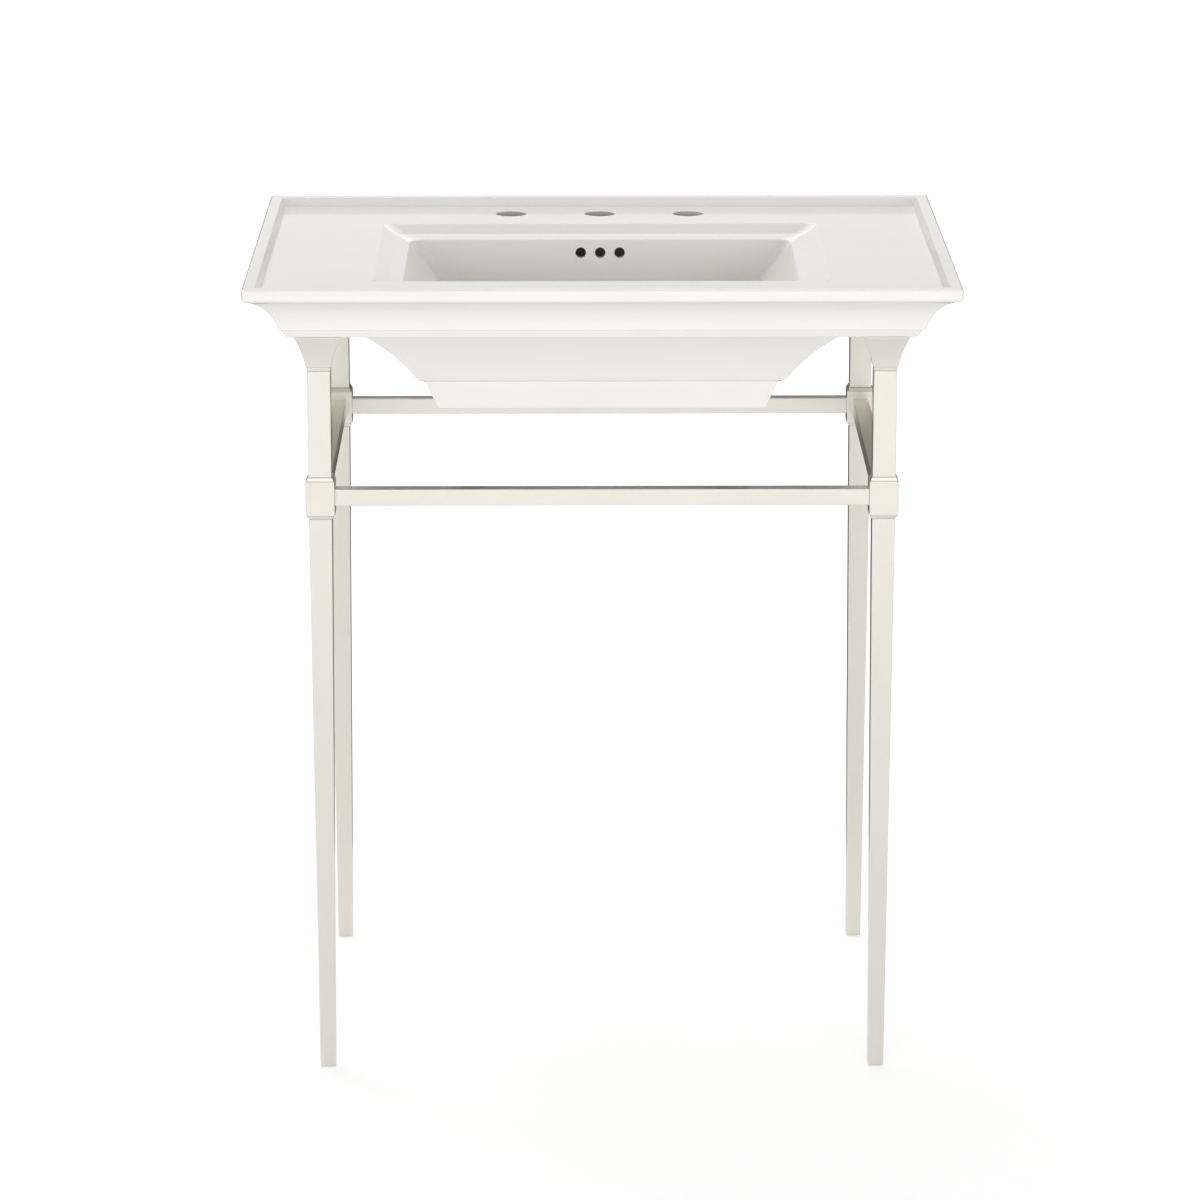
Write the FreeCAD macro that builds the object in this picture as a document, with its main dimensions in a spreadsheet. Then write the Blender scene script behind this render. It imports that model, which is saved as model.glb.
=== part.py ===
"""Console basin: a ceramic sink top on a metal stand with four turned-square legs.

Lengths are in millimetres. +X is to the right and +Y to the wall, seen from the front,
and +Z is up. The origin is on the floor under the middle of the sink top.
"""
import FreeCAD, Part
import math
import operator
import os
import Sketcher
from FreeCAD import Placement, Rotation, Vector

DRIVING_SIZES = (
    ("overall_height", 890.0, "floor to the top of the rim"),
    ("sink_width", 762.0, "sink top, side to side"),
    ("sink_depth", 572.0, "sink top, front to back"),
    ("rim_width", 13.5, "flat top of the raised rim"),
    ("rim_slope", 5.0, "run of the rim's inner wall"),
    ("rim_edge_round", 1.5, "soft edge where the rim's flat top turns inwards"),
    ("deck_drop", 10.0, "deck below the rim"),
    ("deck_fillet", 3.5, "hollow round where the rim's inner wall meets the deck"),
    ("deck_thickness", 12.0, "ceramic under the deck"),
    ("band_height", 14.5, "rim top to the underside of the edge band"),
    ("band_top_round", 3.0, "upper round of the edge band"),
    ("band_low_round", 5.0, "lower round of the edge band"),
    ("band_shelf", 6.0, "inset where the cove begins"),
    ("moulding_height", 60.0, "rim top to the flat underside"),
    ("moulding_inset", 45.0, "inset of the flat underside's edge"),
    ("cove_radius", 49.5, "large cove of the moulding"),
    ("bead_height", 9.5, "bead under the large cove"),
    ("bead_step", 3.5, "step between the cove and the bead"),
    ("bead_step_fall", 1.1, "fall of that step"),
    ("bead_slant", 2.7, "lean of the bead's face"),
    ("bead_round", 2.3, "lower round of the bead"),
    ("skirt_side_inset", 124.5, "sink side to the skirt, at the underside"),
    ("skirt_front_inset", 55.0, "rim front to the skirt, at the underside"),
    ("skirt_height", 97.5, "skirt below the underside"),
    ("skirt_cove_run", 57.7, "width of the skirt's cove"),
    ("skirt_cove_fall", 61.2, "height of the skirt's cove"),
    ("skirt_cove_radius", 230.0, "radius of the skirt's cove"),
    ("skirt_step_run", 7.9, "step under the skirt's cove"),
    ("skirt_step_fall", 3.2, "fall of that step"),
    ("skirt_band_run", 10.5, "lean of the skirt's lower band"),
    ("skirt_low_round", 2.8, "lower round of the skirt"),
    ("skirt_wall", 12.0, "thickness of the skirt"),
    ("apron_thickness", 12.0, "back wall of the sink top"),
    ("bowl_side_margin", 135.0, "sink side to the bowl opening"),
    ("bowl_front_margin", 101.0, "sink front to the bowl opening"),
    ("bowl_back_margin", 127.0, "sink back to the bowl opening"),
    ("bowl_edge_round", 2.5, "round along the bowl opening"),
    ("lip_corner_round", 20.0, "round in the lip's corners"),
    ("ledge_corner_round", 34.0, "round in the ledge's corners"),
    ("wall_corner_round", 22.0, "round in the corners of the bowl's walls"),
    ("floor_round", 18.0, "round between the bowl's walls and floor"),
    ("lip_run", 16.0, "width of the lip inside the opening"),
    ("lip_fall", 9.0, "height of that lip"),
    ("ledge_run", 14.0, "width of the ledge below the lip"),
    ("ledge_fall", 4.8, "fall of the ledge"),
    ("bowl_depth", 127.0, "deck to the bowl's floor at the drain"),
    ("dish_depth", 9.0, "fall of the dish in the bowl's floor to the drain"),
    ("dish_width", 170.0, "diameter of that dish"),
    ("side_wall_run", 88.0, "lean of the bowl's side walls"),
    ("front_wall_run", 62.0, "lean of the bowl's front wall"),
    ("back_wall_run", 6.0, "lean of the bowl's back wall"),
    ("bowl_wall", 12.0, "thickness of the bowl"),
    ("drain_hole", 44.5, "drain hole's diameter"),
    ("drain_seat", 66.0, "diameter of the drain's seat"),
    ("drain_seat_depth", 3.0, "depth of the drain's seat"),
    ("drain_boss", 84.0, "diameter of the thick ring round the drain"),
    ("drain_boss_height", 20.0, "bowl floor to the ring's underside"),
    ("drain_setback", 266.0, "back face to the drain's axis"),
    ("overflow_hole", 12.0, "overflow hole's diameter"),
    ("overflow_pitch", 22.0, "overflow hole to hole"),
    ("overflow_drop", 38.0, "overflow holes below the rim"),
    ("overflow_duct_width", 64.0, "overflow duct behind the bowl"),
    ("overflow_duct_gap", 11.0, "overflow duct, front to back"),
    ("overflow_duct_wall", 9.0, "ceramic round the overflow duct"),
    ("overflow_outlet_width", 18.0, "overflow duct where it meets the drain"),
    ("overflow_outlet_height", 7.0, "height of that outlet"),
    ("faucet_hole", 35.0, "faucet hole's diameter"),
    ("faucet_pitch", 101.6, "faucet hole to hole"),
    ("faucet_setback", 63.0, "back face to the faucet holes"),
    ("wall_bolt_hole", 11.0, "wall bolt hole's diameter"),
    ("wall_bolt_pitch", 280.0, "wall bolt to wall bolt"),
    ("wall_bolt_drop", 41.0, "wall bolts below the rim"),
    ("cavity_width", 48.0, "cast hollow beside the bowl, side to side"),
    ("cavity_length", 340.0, "cast hollow beside the bowl, front to back"),
    ("cavity_floor", 11.0, "ceramic under the cast hollow"),
    ("vent_hole", 8.0, "vent of the cast hollow"),
    ("leg_side_inset", 77.5, "sink side to the leg's axis"),
    ("leg_front_inset", 77.5, "sink front to the front legs' axes"),
    ("leg_back_inset", 35.5, "sink back to the rear legs' axes"),
    ("pad_width", 44.0, "cushion pad on the capital"),
    ("pad_thickness", 1.5, "thickness of that pad"),
    ("capital_width", 50.0, "capital's top"),
    ("capital_lip", 1.4, "upright edge of the capital's top"),
    ("flare_height", 33.4, "capital's flare"),
    ("flare_radius", 120.0, "hollow curve of the flare"),
    ("neck_width", 27.4, "capital's neck"),
    ("collar_width", 26.3, "collar and band, where the post meets them"),
    ("collar_height", 4.5, "collar under the neck"),
    ("post_width", 25.0, "upper post, and the top of the lower leg"),
    ("post_length", 117.2, "upper post"),
    ("tube_wall", 1.5, "wall of the posts and legs"),
    ("block_width", 31.5, "joint block"),
    ("block_height", 37.6, "joint block between its bands"),
    ("block_bevel", 0.8, "bevel at the joint block's top and bottom"),
    ("band_width", 29.4, "block's bands, where they meet the block"),
    ("block_band_height", 4.0, "each band of the block"),
    ("leg_foot_width", 17.0, "lower leg at the floor"),
    ("edge_bevel", 0.7, "bevelled corners of the square tubes"),
    ("rail_width", 18.0, "rails"),
    ("rail_wall", 2.0, "wall of the rails"),
    ("rail_spigot", 16.0, "block's spigot inside a rail"),
    ("post_spigot", 10.0, "spigot inside a post or leg"),
    ("fit_gap", 0.2, "clearance round a spigot or plug"),
    ("rod_diameter", 8.0, "tie rod"),
    ("rod_clearance", 0.5, "clearance round the tie rod, on the diameter"),
    ("thread_gap", 0.1, "clearance in a threaded hole, on the diameter"),
    ("rod_over_nut", 2.0, "tie rod above its nut"),
    ("nut_width", 13.0, "tie nut across its flats"),
    ("nut_height", 6.5, "tie nut"),
    ("nut_recess", 20.0, "width of the nut's square recess"),
    ("nut_recess_depth", 11.0, "depth of that recess"),
    ("plug_height", 15.0, "threaded plug under the block"),
    ("insert_height", 20.0, "threaded insert over the foot"),
    ("foot_proud", 1.0, "foot below the leg's end"),
    ("foot_width", 11.0, "levelling foot's hexagon base, across its flats"),
    ("foot_base_height", 4.0, "thickness of that base"),
    ("stud_diameter", 6.0, "levelling foot's stud"),
    ("stud_length", 26.0, "levelling foot's stud"),
    ("foot_seat_gap", 0.3, "base to insert when the foot is screwed right in"),
    ("screw_diameter", 5.0, "grub screw in the rail's underside"),
    ("screw_length", 6.0, "grub screw"),
    ("screw_socket", 2.5, "hexagon socket across its flats"),
    ("screw_socket_depth", 2.5, "depth of the socket"),
    ("screw_setback", 8.0, "rail's end to the grub screw"),
    ("groove_gap", 0.5, "screw to the sides of its groove in the spigot"),
)

CUT_MARGIN = 5.0
SLACK = 0.01
OPERATIONS = {"+": operator.add, "-": operator.sub, "*": operator.mul, "/": operator.truediv}
SIDES = (("left", -1), ("right", 1))
ENDS = (("front", -1), ("rear", 1))

doc = FreeCAD.newDocument("console_basin")
SUBPARTS = []


class Size:
    """A length held both as words for the spreadsheet link and as its number."""

    def __init__(self, words, number):
        self.words = words
        self.number = number

    def __add__(self, other):
        return work_out(self, "+", other)

    def __sub__(self, other):
        return work_out(self, "-", other)

    def __mul__(self, other):
        return work_out(self, "*", other)

    def __truediv__(self, other):
        return work_out(self, "/", other)

    def __neg__(self):
        return self * -1


def work_out(first, sign, second):
    """Joins two sizes, or a size and a plain number, with an arithmetic sign."""
    if not isinstance(second, Size):
        second = Size(str(second), second)
    number = OPERATIONS[sign](first.number, second.number)
    return Size(f"({first.words} {sign} {second.words})", number)


def diagonal(run, fall):
    """The length of a slope."""
    words = f"sqrt({run.words} * {run.words} + {fall.words} * {fall.words})"
    return Size(words, math.hypot(run.number, fall.number))


class SizeSheet:
    """The spreadsheet of driving sizes, read as attributes."""

    def __init__(self, rows):
        self.numbers = {}
        self.sheet = doc.addObject("Spreadsheet::Sheet", "Sizes")
        for line, (alias, number, meaning) in enumerate(rows, start=1):
            self.sheet.set(f"A{line}", meaning)
            self.sheet.set(f"B{line}", str(number))
            self.sheet.setAlias(f"B{line}", alias)
            self.numbers[alias] = number
        doc.recompute()

    def __getattr__(self, alias):
        return Size(f"Sizes.{alias}", self.numbers[alias])


S = SizeSheet(DRIVING_SIZES)

# Levels above the floor.
RIM_TOP = S.overall_height
DECK = RIM_TOP - S.deck_drop
DECK_UNDERSIDE = DECK - S.deck_thickness
UNDERSIDE = RIM_TOP - S.moulding_height
SKIRT_BOTTOM = UNDERSIDE - S.skirt_height
LIP_LEVEL = DECK - S.lip_fall
LEDGE_LEVEL = LIP_LEVEL - S.ledge_fall
BOWL_FLOOR = DECK - S.bowl_depth
FLOOR_EDGE = BOWL_FLOOR + S.dish_depth
WALL_FALL = LEDGE_LEVEL - FLOOR_EDGE
CAPITAL_TOP = UNDERSIDE - S.pad_thickness
POST_TOP = CAPITAL_TOP - S.capital_lip - S.flare_height - S.collar_height
POST_BOTTOM = POST_TOP - S.post_length
BLOCK_CENTRE = POST_BOTTOM - S.block_band_height - S.block_height / 2
LEG_TOP = POST_BOTTOM - S.block_band_height * 2 - S.block_height
LEG_END = S.foot_proud
INSERT_BOTTOM = S.foot_base_height + S.foot_seat_gap

# Places in plan.
FRONT = -(S.sink_depth / 2)
BACK = S.sink_depth / 2
SKIRT_HALF = S.sink_width / 2 - S.skirt_side_inset
BOWL_HALF = S.sink_width / 2 - S.bowl_side_margin
BOWL_FRONT = FRONT + S.bowl_front_margin
BOWL_BACK = BACK - S.bowl_back_margin
DRAIN_Y = BACK - S.drain_setback
LEG_X = S.sink_width / 2 - S.leg_side_inset
LEG_Y = {"front": FRONT + S.leg_front_inset, "rear": BACK - S.leg_back_inset}
TUBE_BORE = S.post_width - S.tube_wall * 2
RAIL_BORE = S.rail_width - S.rail_wall * 2


def bind(thing, **links):
    """Links properties to sizes; a double underscore stands for a dot."""
    for name, size in links.items():
        thing.setExpression(name.replace("__", "."), size.words)


def place(thing, x=None, y=None, z=None):
    """Links the place of a thing to sizes."""
    for axis, size in (("x", x), ("y", y), ("z", z)):
        if size is not None:
            thing.setExpression(f"Placement.Base.{axis}", size.words)


def keep(thing, label):
    """Lists a finished sub-part under the name of its file."""
    thing.Label = label
    SUBPARTS.append(thing)
    return thing


# ---------------------------------------------------------------- outlines


def arc_between(start, end, bend):
    """An arc from start to end, turning left where bend is positive."""
    chord = end - start
    half = chord.Length / 2
    radius = abs(bend)
    rise = math.sqrt(max(radius * radius - half * half, 0.0))
    left = Vector(-chord.y, chord.x, 0).normalize()
    centre = start + chord * 0.5 + left * math.copysign(rise, bend)
    first, last = (start, end) if bend > 0 else (end, start)
    first_angle = math.atan2(first.y - centre.y, first.x - centre.x)
    last_angle = math.atan2(last.y - centre.y, last.x - centre.x)
    circle = Part.Circle(centre, Vector(0, 0, 1), radius)
    return Part.ArcOfCircle(circle, first_angle, last_angle)


def draw(sketch, corners):
    """Draws a closed outline through corners (x, y, bend) and ties it to the sizes.

    bend is the radius of the arc that leads to the next corner: a left turn where the
    sign beside it is 1, a right turn where it is -1, and a straight line where it is None.
    """
    starts = []
    ends = []
    for index, (x, y, bend) in enumerate(corners):
        next_x, next_y, _ = corners[(index + 1) % len(corners)]
        start = Vector(x.number, y.number, 0)
        end = Vector(next_x.number, next_y.number, 0)
        if bend is None:
            sketch.addGeometry(Part.LineSegment(start, end))
            turn = 1
        else:
            radius, turn = bend
            sketch.addGeometry(arc_between(start, end, radius.number * turn))
        starts.append(1 if turn > 0 else 2)
        ends.append(2 if turn > 0 else 1)
    for index, (x, y, bend) in enumerate(corners):
        following = (index + 1) % len(corners)
        joint = Sketcher.Constraint("Coincident", index, ends[index], following, starts[following])
        sketch.addConstraint(joint)
        for kind, size in (("DistanceX", x), ("DistanceY", y)):
            rule = Sketcher.Constraint(kind, -1, 1, index, starts[index], size.number)
            number = sketch.addConstraint(rule)
            sketch.setExpression(f"Constraints[{number}]", size.words)
        if bend is not None:
            number = sketch.addConstraint(Sketcher.Constraint("Radius", index, bend[0].number))
            sketch.setExpression(f"Constraints[{number}]", bend[0].words)


def square(width):
    """The corners of a centred square."""
    half = width / 2
    return [(-half, -half, None), (half, -half, None), (half, half, None), (-half, half, None)]


def bevelled_square(width):
    """The corners of a centred square with bevelled corners."""
    half = width / 2
    near = half - S.edge_bevel
    return [
        (-near, -half, None), (near, -half, None), (half, -near, None), (half, near, None),
        (near, half, None), (-near, half, None), (-half, near, None), (-half, -near, None),
    ]


def hexagon(across_flats):
    """The corners of a centred hexagon."""
    corner = across_flats / round(math.cos(math.pi / 6) * 2, 6)
    flat = across_flats / 2
    return [
        (corner, flat * 0, None), (corner / 2, flat, None), (-corner / 2, flat, None),
        (-corner, flat * 0, None), (-corner / 2, -flat, None), (corner / 2, -flat, None),
    ]


def free_sketch(name, corners, rotation):
    """A sketch that stands by itself in the document, turned to an upright plane."""
    sketch = doc.addObject("Sketcher::SketchObject", name)
    sketch.Placement = Placement(Vector(), rotation)
    draw(sketch, corners)
    return sketch


def body_sketch(body, name, role, corners=None, z=None):
    """A sketch on one of the body's own planes, raised by z."""
    sketch = body.newObject("Sketcher::SketchObject", name)
    plane = [item for item in body.Origin.OriginFeatures if item.Role == role][0]
    sketch.AttachmentSupport = [(plane, "")]
    sketch.MapMode = "FlatFace"
    if z is not None:
        sketch.setExpression("AttachmentOffset.Base.z", z.words)
    if corners is not None:
        draw(sketch, corners)
    return sketch


def draw_circle(sketch, diameter, x=None, y=None):
    """A circle, at the sketch's origin unless x and y are given."""
    centre = Vector(x.number if x else 0, y.number if y else 0, 0)
    index = sketch.addGeometry(Part.Circle(centre, Vector(0, 0, 1), diameter.number / 2))
    if x is None and y is None:
        sketch.addConstraint(Sketcher.Constraint("Coincident", index, 3, -1, 1))
    for kind, size in (("DistanceX", x), ("DistanceY", y)):
        if size is not None:
            rule = Sketcher.Constraint(kind, -1, 1, index, 3, size.number)
            number = sketch.addConstraint(rule)
            sketch.setExpression(f"Constraints[{number}]", size.words)
    if x is not None and y is None:
        sketch.addConstraint(Sketcher.Constraint("PointOnObject", index, 3, -1))
    number = sketch.addConstraint(Sketcher.Constraint("Diameter", index, diameter.number))
    sketch.setExpression(f"Constraints[{number}]", diameter.words)


# ---------------------------------------------------------------- solids

FACING_FRONT = Rotation(Vector(1, 0, 0), 90)
FACING_SIDE = Rotation(Vector(1, 1, 1), 120)


def extrude(name, sketch, length):
    """A sketch pushed out evenly to both sides of its plane."""
    solid = doc.addObject("Part::Extrusion", name)
    solid.Base = sketch
    solid.DirMode = "Normal"
    solid.Solid = True
    solid.Symmetric = True
    bind(solid, LengthFwd=length)
    return solid


def mitred(name, front_outline, side_outline, width, depth):
    """Runs one outline across and another from front to back, and keeps what they share.

    Where both outlines carry the same moulding, it turns the corner in a true mitre.
    """
    front_view = free_sketch(f"{name}_front_view", front_outline, FACING_FRONT)
    side_view = free_sketch(f"{name}_side_view", side_outline, FACING_SIDE)
    common = doc.addObject("Part::Common", name)
    common.Base = extrude(f"{name}_lengthwise", front_view, depth + CUT_MARGIN)
    common.Tool = extrude(f"{name}_crosswise", side_view, width + CUT_MARGIN)
    return common


def both_sides(profile):
    """Mirrors a profile of (half width, level, bend), given from top to bottom."""
    right = list(profile)
    left = []
    for index in range(len(profile) - 1, -1, -1):
        x, z, _ = profile[index]
        bend = profile[index - 1][2] if index > 0 else None
        left.append((-x, z, bend))
    return right + left


def front_only(profile, back, back_corners=()):
    """A profile of (inset, level, bend) at the front, closed by a straight back."""
    top_level = profile[0][1]
    low_level = profile[-1][1]
    front = [(FRONT + inset, level, bend) for inset, level, bend in profile]
    low_end = [] if back_corners else [(back, low_level, None)]
    return front + low_end + list(back_corners) + [(back, top_level, None)]


def flip_turns(profile):
    """The same profile with its arcs turning the other way."""
    return [(a, b, bend and (bend[0], -bend[1])) for a, b, bend in profile]


def box(name, x_low, x_high, y_low, y_high, z_low, z_high):
    """A box between six sizes."""
    solid = doc.addObject("Part::Box", name)
    bind(solid, Length=x_high - x_low, Width=y_high - y_low, Height=z_high - z_low)
    place(solid, x_low, y_low, z_low)
    return solid


def cylinder(name, diameter, length, x, y, z, turned=None):
    """A cylinder that rises from a point, or is turned first."""
    solid = doc.addObject("Part::Cylinder", name)
    if turned is not None:
        solid.Placement = Placement(Vector(), turned)
    bind(solid, Radius=diameter / 2, Height=length)
    place(solid, x, y, z)
    return solid


def fuse(name, shapes):
    """One solid from several."""
    solid = doc.addObject("Part::MultiFuse", name)
    solid.Shapes = shapes
    return solid


def cut(name, base, tools):
    """A solid less one tool, or less several."""
    solid = doc.addObject("Part::Cut", name)
    solid.Base = base
    solid.Tool = tools[0] if len(tools) == 1 else fuse(f"{name}_tools", tools)
    return solid


def soften(body, name, kind, pick, **size):
    """Rounds or bevels the edges of a body that pick names."""
    doc.recompute()
    tip = body.Tip
    edges = enumerate(tip.Shape.Edges, start=1)
    feature = body.newObject(f"PartDesign::{kind}", name)
    feature.Base = (tip, [f"Edge{index}" for index, edge in edges if pick(edge)])
    bind(feature, **size)


def softened(name, solid, rounds):
    """A body that takes a solid and rounds the edges that each (radius, pick) names."""
    body = doc.addObject("PartDesign::Body", name)
    body.BaseFeature = solid
    for number, (radius, pick) in enumerate(rounds, start=1):
        soften(body, f"{name}_round_{number}", "Fillet", pick, Radius=radius)
    return body


def is_level(edge, level=None):
    """Whether an edge is level, and at a given level if there is one."""
    bounds = edge.BoundBox
    flat = bounds.ZLength < SLACK
    return flat and (level is None or abs(bounds.ZMin - level.number) < SLACK)


def is_upright(edge):
    """Whether an edge climbs."""
    return not is_level(edge)


# ---------------------------------------------------------------- the sink top


def round_reach(run, fall, radius):
    """How far a round between a flat and a slope goes: on the flat, and across and down the slope."""
    slope = diagonal(run, fall)
    reach = radius * (slope - run) / fall
    return reach, reach * run / slope, reach * fall / slope


def slab_profile():
    """Edge band, cove and bead as (inset, level, bend), from the rim down."""
    cove_inset = S.moulding_inset - S.bead_round - S.bead_slant - S.bead_step
    cove_level = UNDERSIDE + S.bead_height
    bead_level = cove_level - S.bead_step_fall
    zero = S.sink_width * 0
    return [
        (S.band_top_round, RIM_TOP, (S.band_top_round, 1)),
        (zero, RIM_TOP - S.band_top_round, None),
        (zero, RIM_TOP - S.band_height + S.band_low_round, (S.band_low_round, 1)),
        (S.band_low_round, RIM_TOP - S.band_height, None),
        (S.band_shelf, RIM_TOP - S.band_height, (S.cove_radius, -1)),
        (cove_inset, cove_level, None),
        (cove_inset + S.bead_step, bead_level, None),
        (S.moulding_inset - S.bead_round, UNDERSIDE + S.bead_round, (S.bead_round, 1)),
        (S.moulding_inset, UNDERSIDE, None),
    ]


def skirt_profile():
    """Cove, step and band as (inset from the skirt's top edge, level, bend)."""
    zero = S.sink_width * 0
    cove_level = UNDERSIDE - S.skirt_cove_fall
    band_top = S.skirt_cove_run + S.skirt_step_run
    band_low = band_top + S.skirt_band_run
    return [
        (zero, DECK_UNDERSIDE, None),
        (zero, UNDERSIDE, (S.skirt_cove_radius, -1)),
        (S.skirt_cove_run, cove_level, None),
        (band_top, cove_level - S.skirt_step_fall, None),
        (band_low, SKIRT_BOTTOM + S.skirt_low_round, (S.skirt_low_round, 1)),
        (band_low + S.skirt_low_round, SKIRT_BOTTOM, None),
    ]


def hollow_profile():
    """The inside of the skirt, one wall thickness within the cove and the band."""
    slope = diagonal(S.skirt_cove_run, S.skirt_cove_fall)
    across = S.skirt_wall * S.skirt_cove_fall / slope
    along = S.skirt_wall * S.skirt_cove_run / slope
    cove_level = UNDERSIDE - S.skirt_cove_fall
    skirt_foot = S.skirt_cove_run + S.skirt_step_run + S.skirt_band_run + S.skirt_low_round
    return [
        (S.skirt_wall, DECK_UNDERSIDE, None),
        (S.skirt_wall, UNDERSIDE + S.skirt_wall, (S.skirt_cove_radius + S.skirt_wall, -1)),
        (S.skirt_cove_run + across, cove_level + along, None),
        (skirt_foot + S.skirt_wall, SKIRT_BOTTOM - CUT_MARGIN, None),
    ]


def across_sink(profile, half_width):
    """A profile of insets turned into an outline of the whole width."""
    halves = [(half_width - inset, level, bend) for inset, level, bend in flip_turns(profile)]
    return both_sides(halves)


def sink_slab():
    """The sink top's outer body: mouldings at the front and sides, flat at the back."""
    profile = slab_profile()
    side = front_only(profile, BACK)
    return mitred("slab", across_sink(profile, S.sink_width / 2), side, S.sink_width, S.sink_depth)


def sink_skirt():
    """The shroud below the slab, with the same mitred language."""
    profile = skirt_profile()
    moved = [(inset + S.skirt_front_inset, level, bend) for inset, level, bend in profile]
    side = front_only(moved, BACK)
    return mitred("skirt", across_sink(profile, SKIRT_HALF), side, S.sink_width, S.sink_depth)


def skirt_hollow():
    """The space inside the skirt, closed by the apron and open at the back below it."""
    profile = hollow_profile()
    moved = [(inset + S.skirt_front_inset, level, bend) for inset, level, bend in profile]
    apron_face = BACK - S.apron_thickness
    outside = BACK + CUT_MARGIN
    low = SKIRT_BOTTOM - CUT_MARGIN
    back = [(outside, low, None), (outside, UNDERSIDE, None), (apron_face, UNDERSIDE, None)]
    side = front_only(moved, apron_face, back)
    across = across_sink(profile, SKIRT_HALF)
    return mitred("skirt_hollow", across, side, S.sink_width, S.sink_depth * 2)


def bowl_solid(name, stations):
    """A flat-walled form through stations of (side, front and back inset, level), from the top."""
    across = both_sides([(BOWL_HALF - side, level, None) for side, _, _, level in stations])
    front = [(BOWL_FRONT + inset, level, None) for _, inset, _, level in stations]
    back = [(BOWL_BACK - inset, level, None) for _, _, inset, level in reversed(stations)]
    return mitred(name, across, front + back, S.sink_width, S.sink_depth)


def even_station(inset, level):
    """A station with the same inset all round."""
    return inset, inset, inset, level


def wall_station(depth, growth):
    """A station of the bowl's walls at a depth below the ledge, moved outwards by a growth."""
    insets = []
    for run in (S.side_wall_run, S.front_wall_run, S.back_wall_run):
        outwards = growth * (diagonal(run, WALL_FALL) - run) / WALL_FALL
        insets.append(S.lip_run + S.ledge_run + run * depth / WALL_FALL - outwards)
    return (*insets, LEDGE_LEVEL - depth - growth)


def bowl_outside():
    """The bowl's outer form, one wall thickness outside its lip, ledge and walls."""
    wall = S.bowl_wall
    lip_growth = round_reach(S.lip_run, S.lip_fall, wall)[0]
    stations = [
        even_station(-lip_growth, DECK - S.deck_thickness / 2),
        even_station(-lip_growth, DECK - wall),
        even_station(S.lip_run - lip_growth, LIP_LEVEL - wall),
        wall_station(wall * 0, wall),
        wall_station(WALL_FALL + S.dish_depth, wall),
    ]
    return bowl_solid("bowl_outside", stations)


def bowl_inside():
    """The cutters of the lip, the ledge, the walls and the dish round the drain."""
    over_lip = S.lip_run * CUT_MARGIN / S.lip_fall
    lip = bowl_solid("lip", [
        even_station(-over_lip, DECK + CUT_MARGIN), even_station(S.lip_run, LIP_LEVEL)])
    ledge = bowl_solid("ledge", [
        even_station(S.lip_run, LIP_LEVEL), even_station(S.lip_run + S.ledge_run, LEDGE_LEVEL)])
    none = S.bowl_wall * 0
    walls = bowl_solid("walls", [
        wall_station(none - CUT_MARGIN, none), wall_station(WALL_FALL, none)])
    dish = doc.addObject("Part::Cone", "dish")
    bind(dish, Radius1=S.drain_seat / 2, Radius2=S.dish_width / 2, Height=S.dish_depth)
    place(dish, none, DRAIN_Y, BOWL_FLOOR)
    walls_pick = (S.wall_corner_round, is_upright)
    floor_pick = (S.floor_round, lambda edge: is_level(edge, FLOOR_EDGE))
    return [
        softened("lip_cutter", lip, [(S.lip_corner_round, is_upright)]),
        softened("ledge_cutter", ledge, [(S.ledge_corner_round, is_upright)]),
        softened("walls_cutter", walls, [walls_pick, floor_pick]),
        dish,
    ]


def overflow_block():
    """Ceramic round the overflow duct: a rib behind the bowl and one under its floor."""
    wall = S.overflow_duct_wall
    half = S.overflow_duct_width / 2 + wall
    bowl_back = BOWL_BACK - S.lip_run - S.ledge_run - S.back_wall_run
    rib_back = bowl_back + S.back_wall_run + wall * 2 + S.overflow_duct_gap
    low = BOWL_FLOOR - S.drain_boss_height
    rib = box("overflow_rib", -half, half, bowl_back, rib_back, low, DECK - S.deck_thickness / 2)
    foot_half = S.overflow_outlet_width / 2 + wall
    foot_top = BOWL_FLOOR - S.bowl_wall / 4
    foot = box("overflow_foot", -foot_half, foot_half, DRAIN_Y, rib_back, low, foot_top)
    return [rib, foot]


def overflow_duct():
    """The duct itself: three holes, a drop behind the bowl and an outlet to the drain."""
    wall = S.overflow_duct_wall
    bowl_back = BOWL_BACK - S.lip_run - S.ledge_run
    duct_front = bowl_back + wall
    duct_back = duct_front + S.overflow_duct_gap
    half = S.overflow_duct_width / 2
    outlet_low = BOWL_FLOOR - S.drain_boss_height + wall / 2
    hole_level = RIM_TOP - S.overflow_drop
    top = hole_level + S.overflow_hole
    drop = box("duct_drop", -half, half, duct_front, duct_back, outlet_low, top)
    outlet_half = S.overflow_outlet_width / 2
    outlet_top = outlet_low + S.overflow_outlet_height
    outlet = box("duct_outlet", -outlet_half, outlet_half, DRAIN_Y, duct_back, outlet_low, outlet_top)
    holes = []
    for step in (-1, 0, 1):
        x = S.overflow_pitch * step
        start = duct_back - S.overflow_duct_gap / 2
        length = S.overflow_duct_gap / 2 + wall + S.back_wall_run + CUT_MARGIN
        name = f"overflow_hole_{step + 2}"
        holes.append(cylinder(name, S.overflow_hole, length, x, start, hole_level, FACING_FRONT))
    return [drop, outlet] + holes


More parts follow.
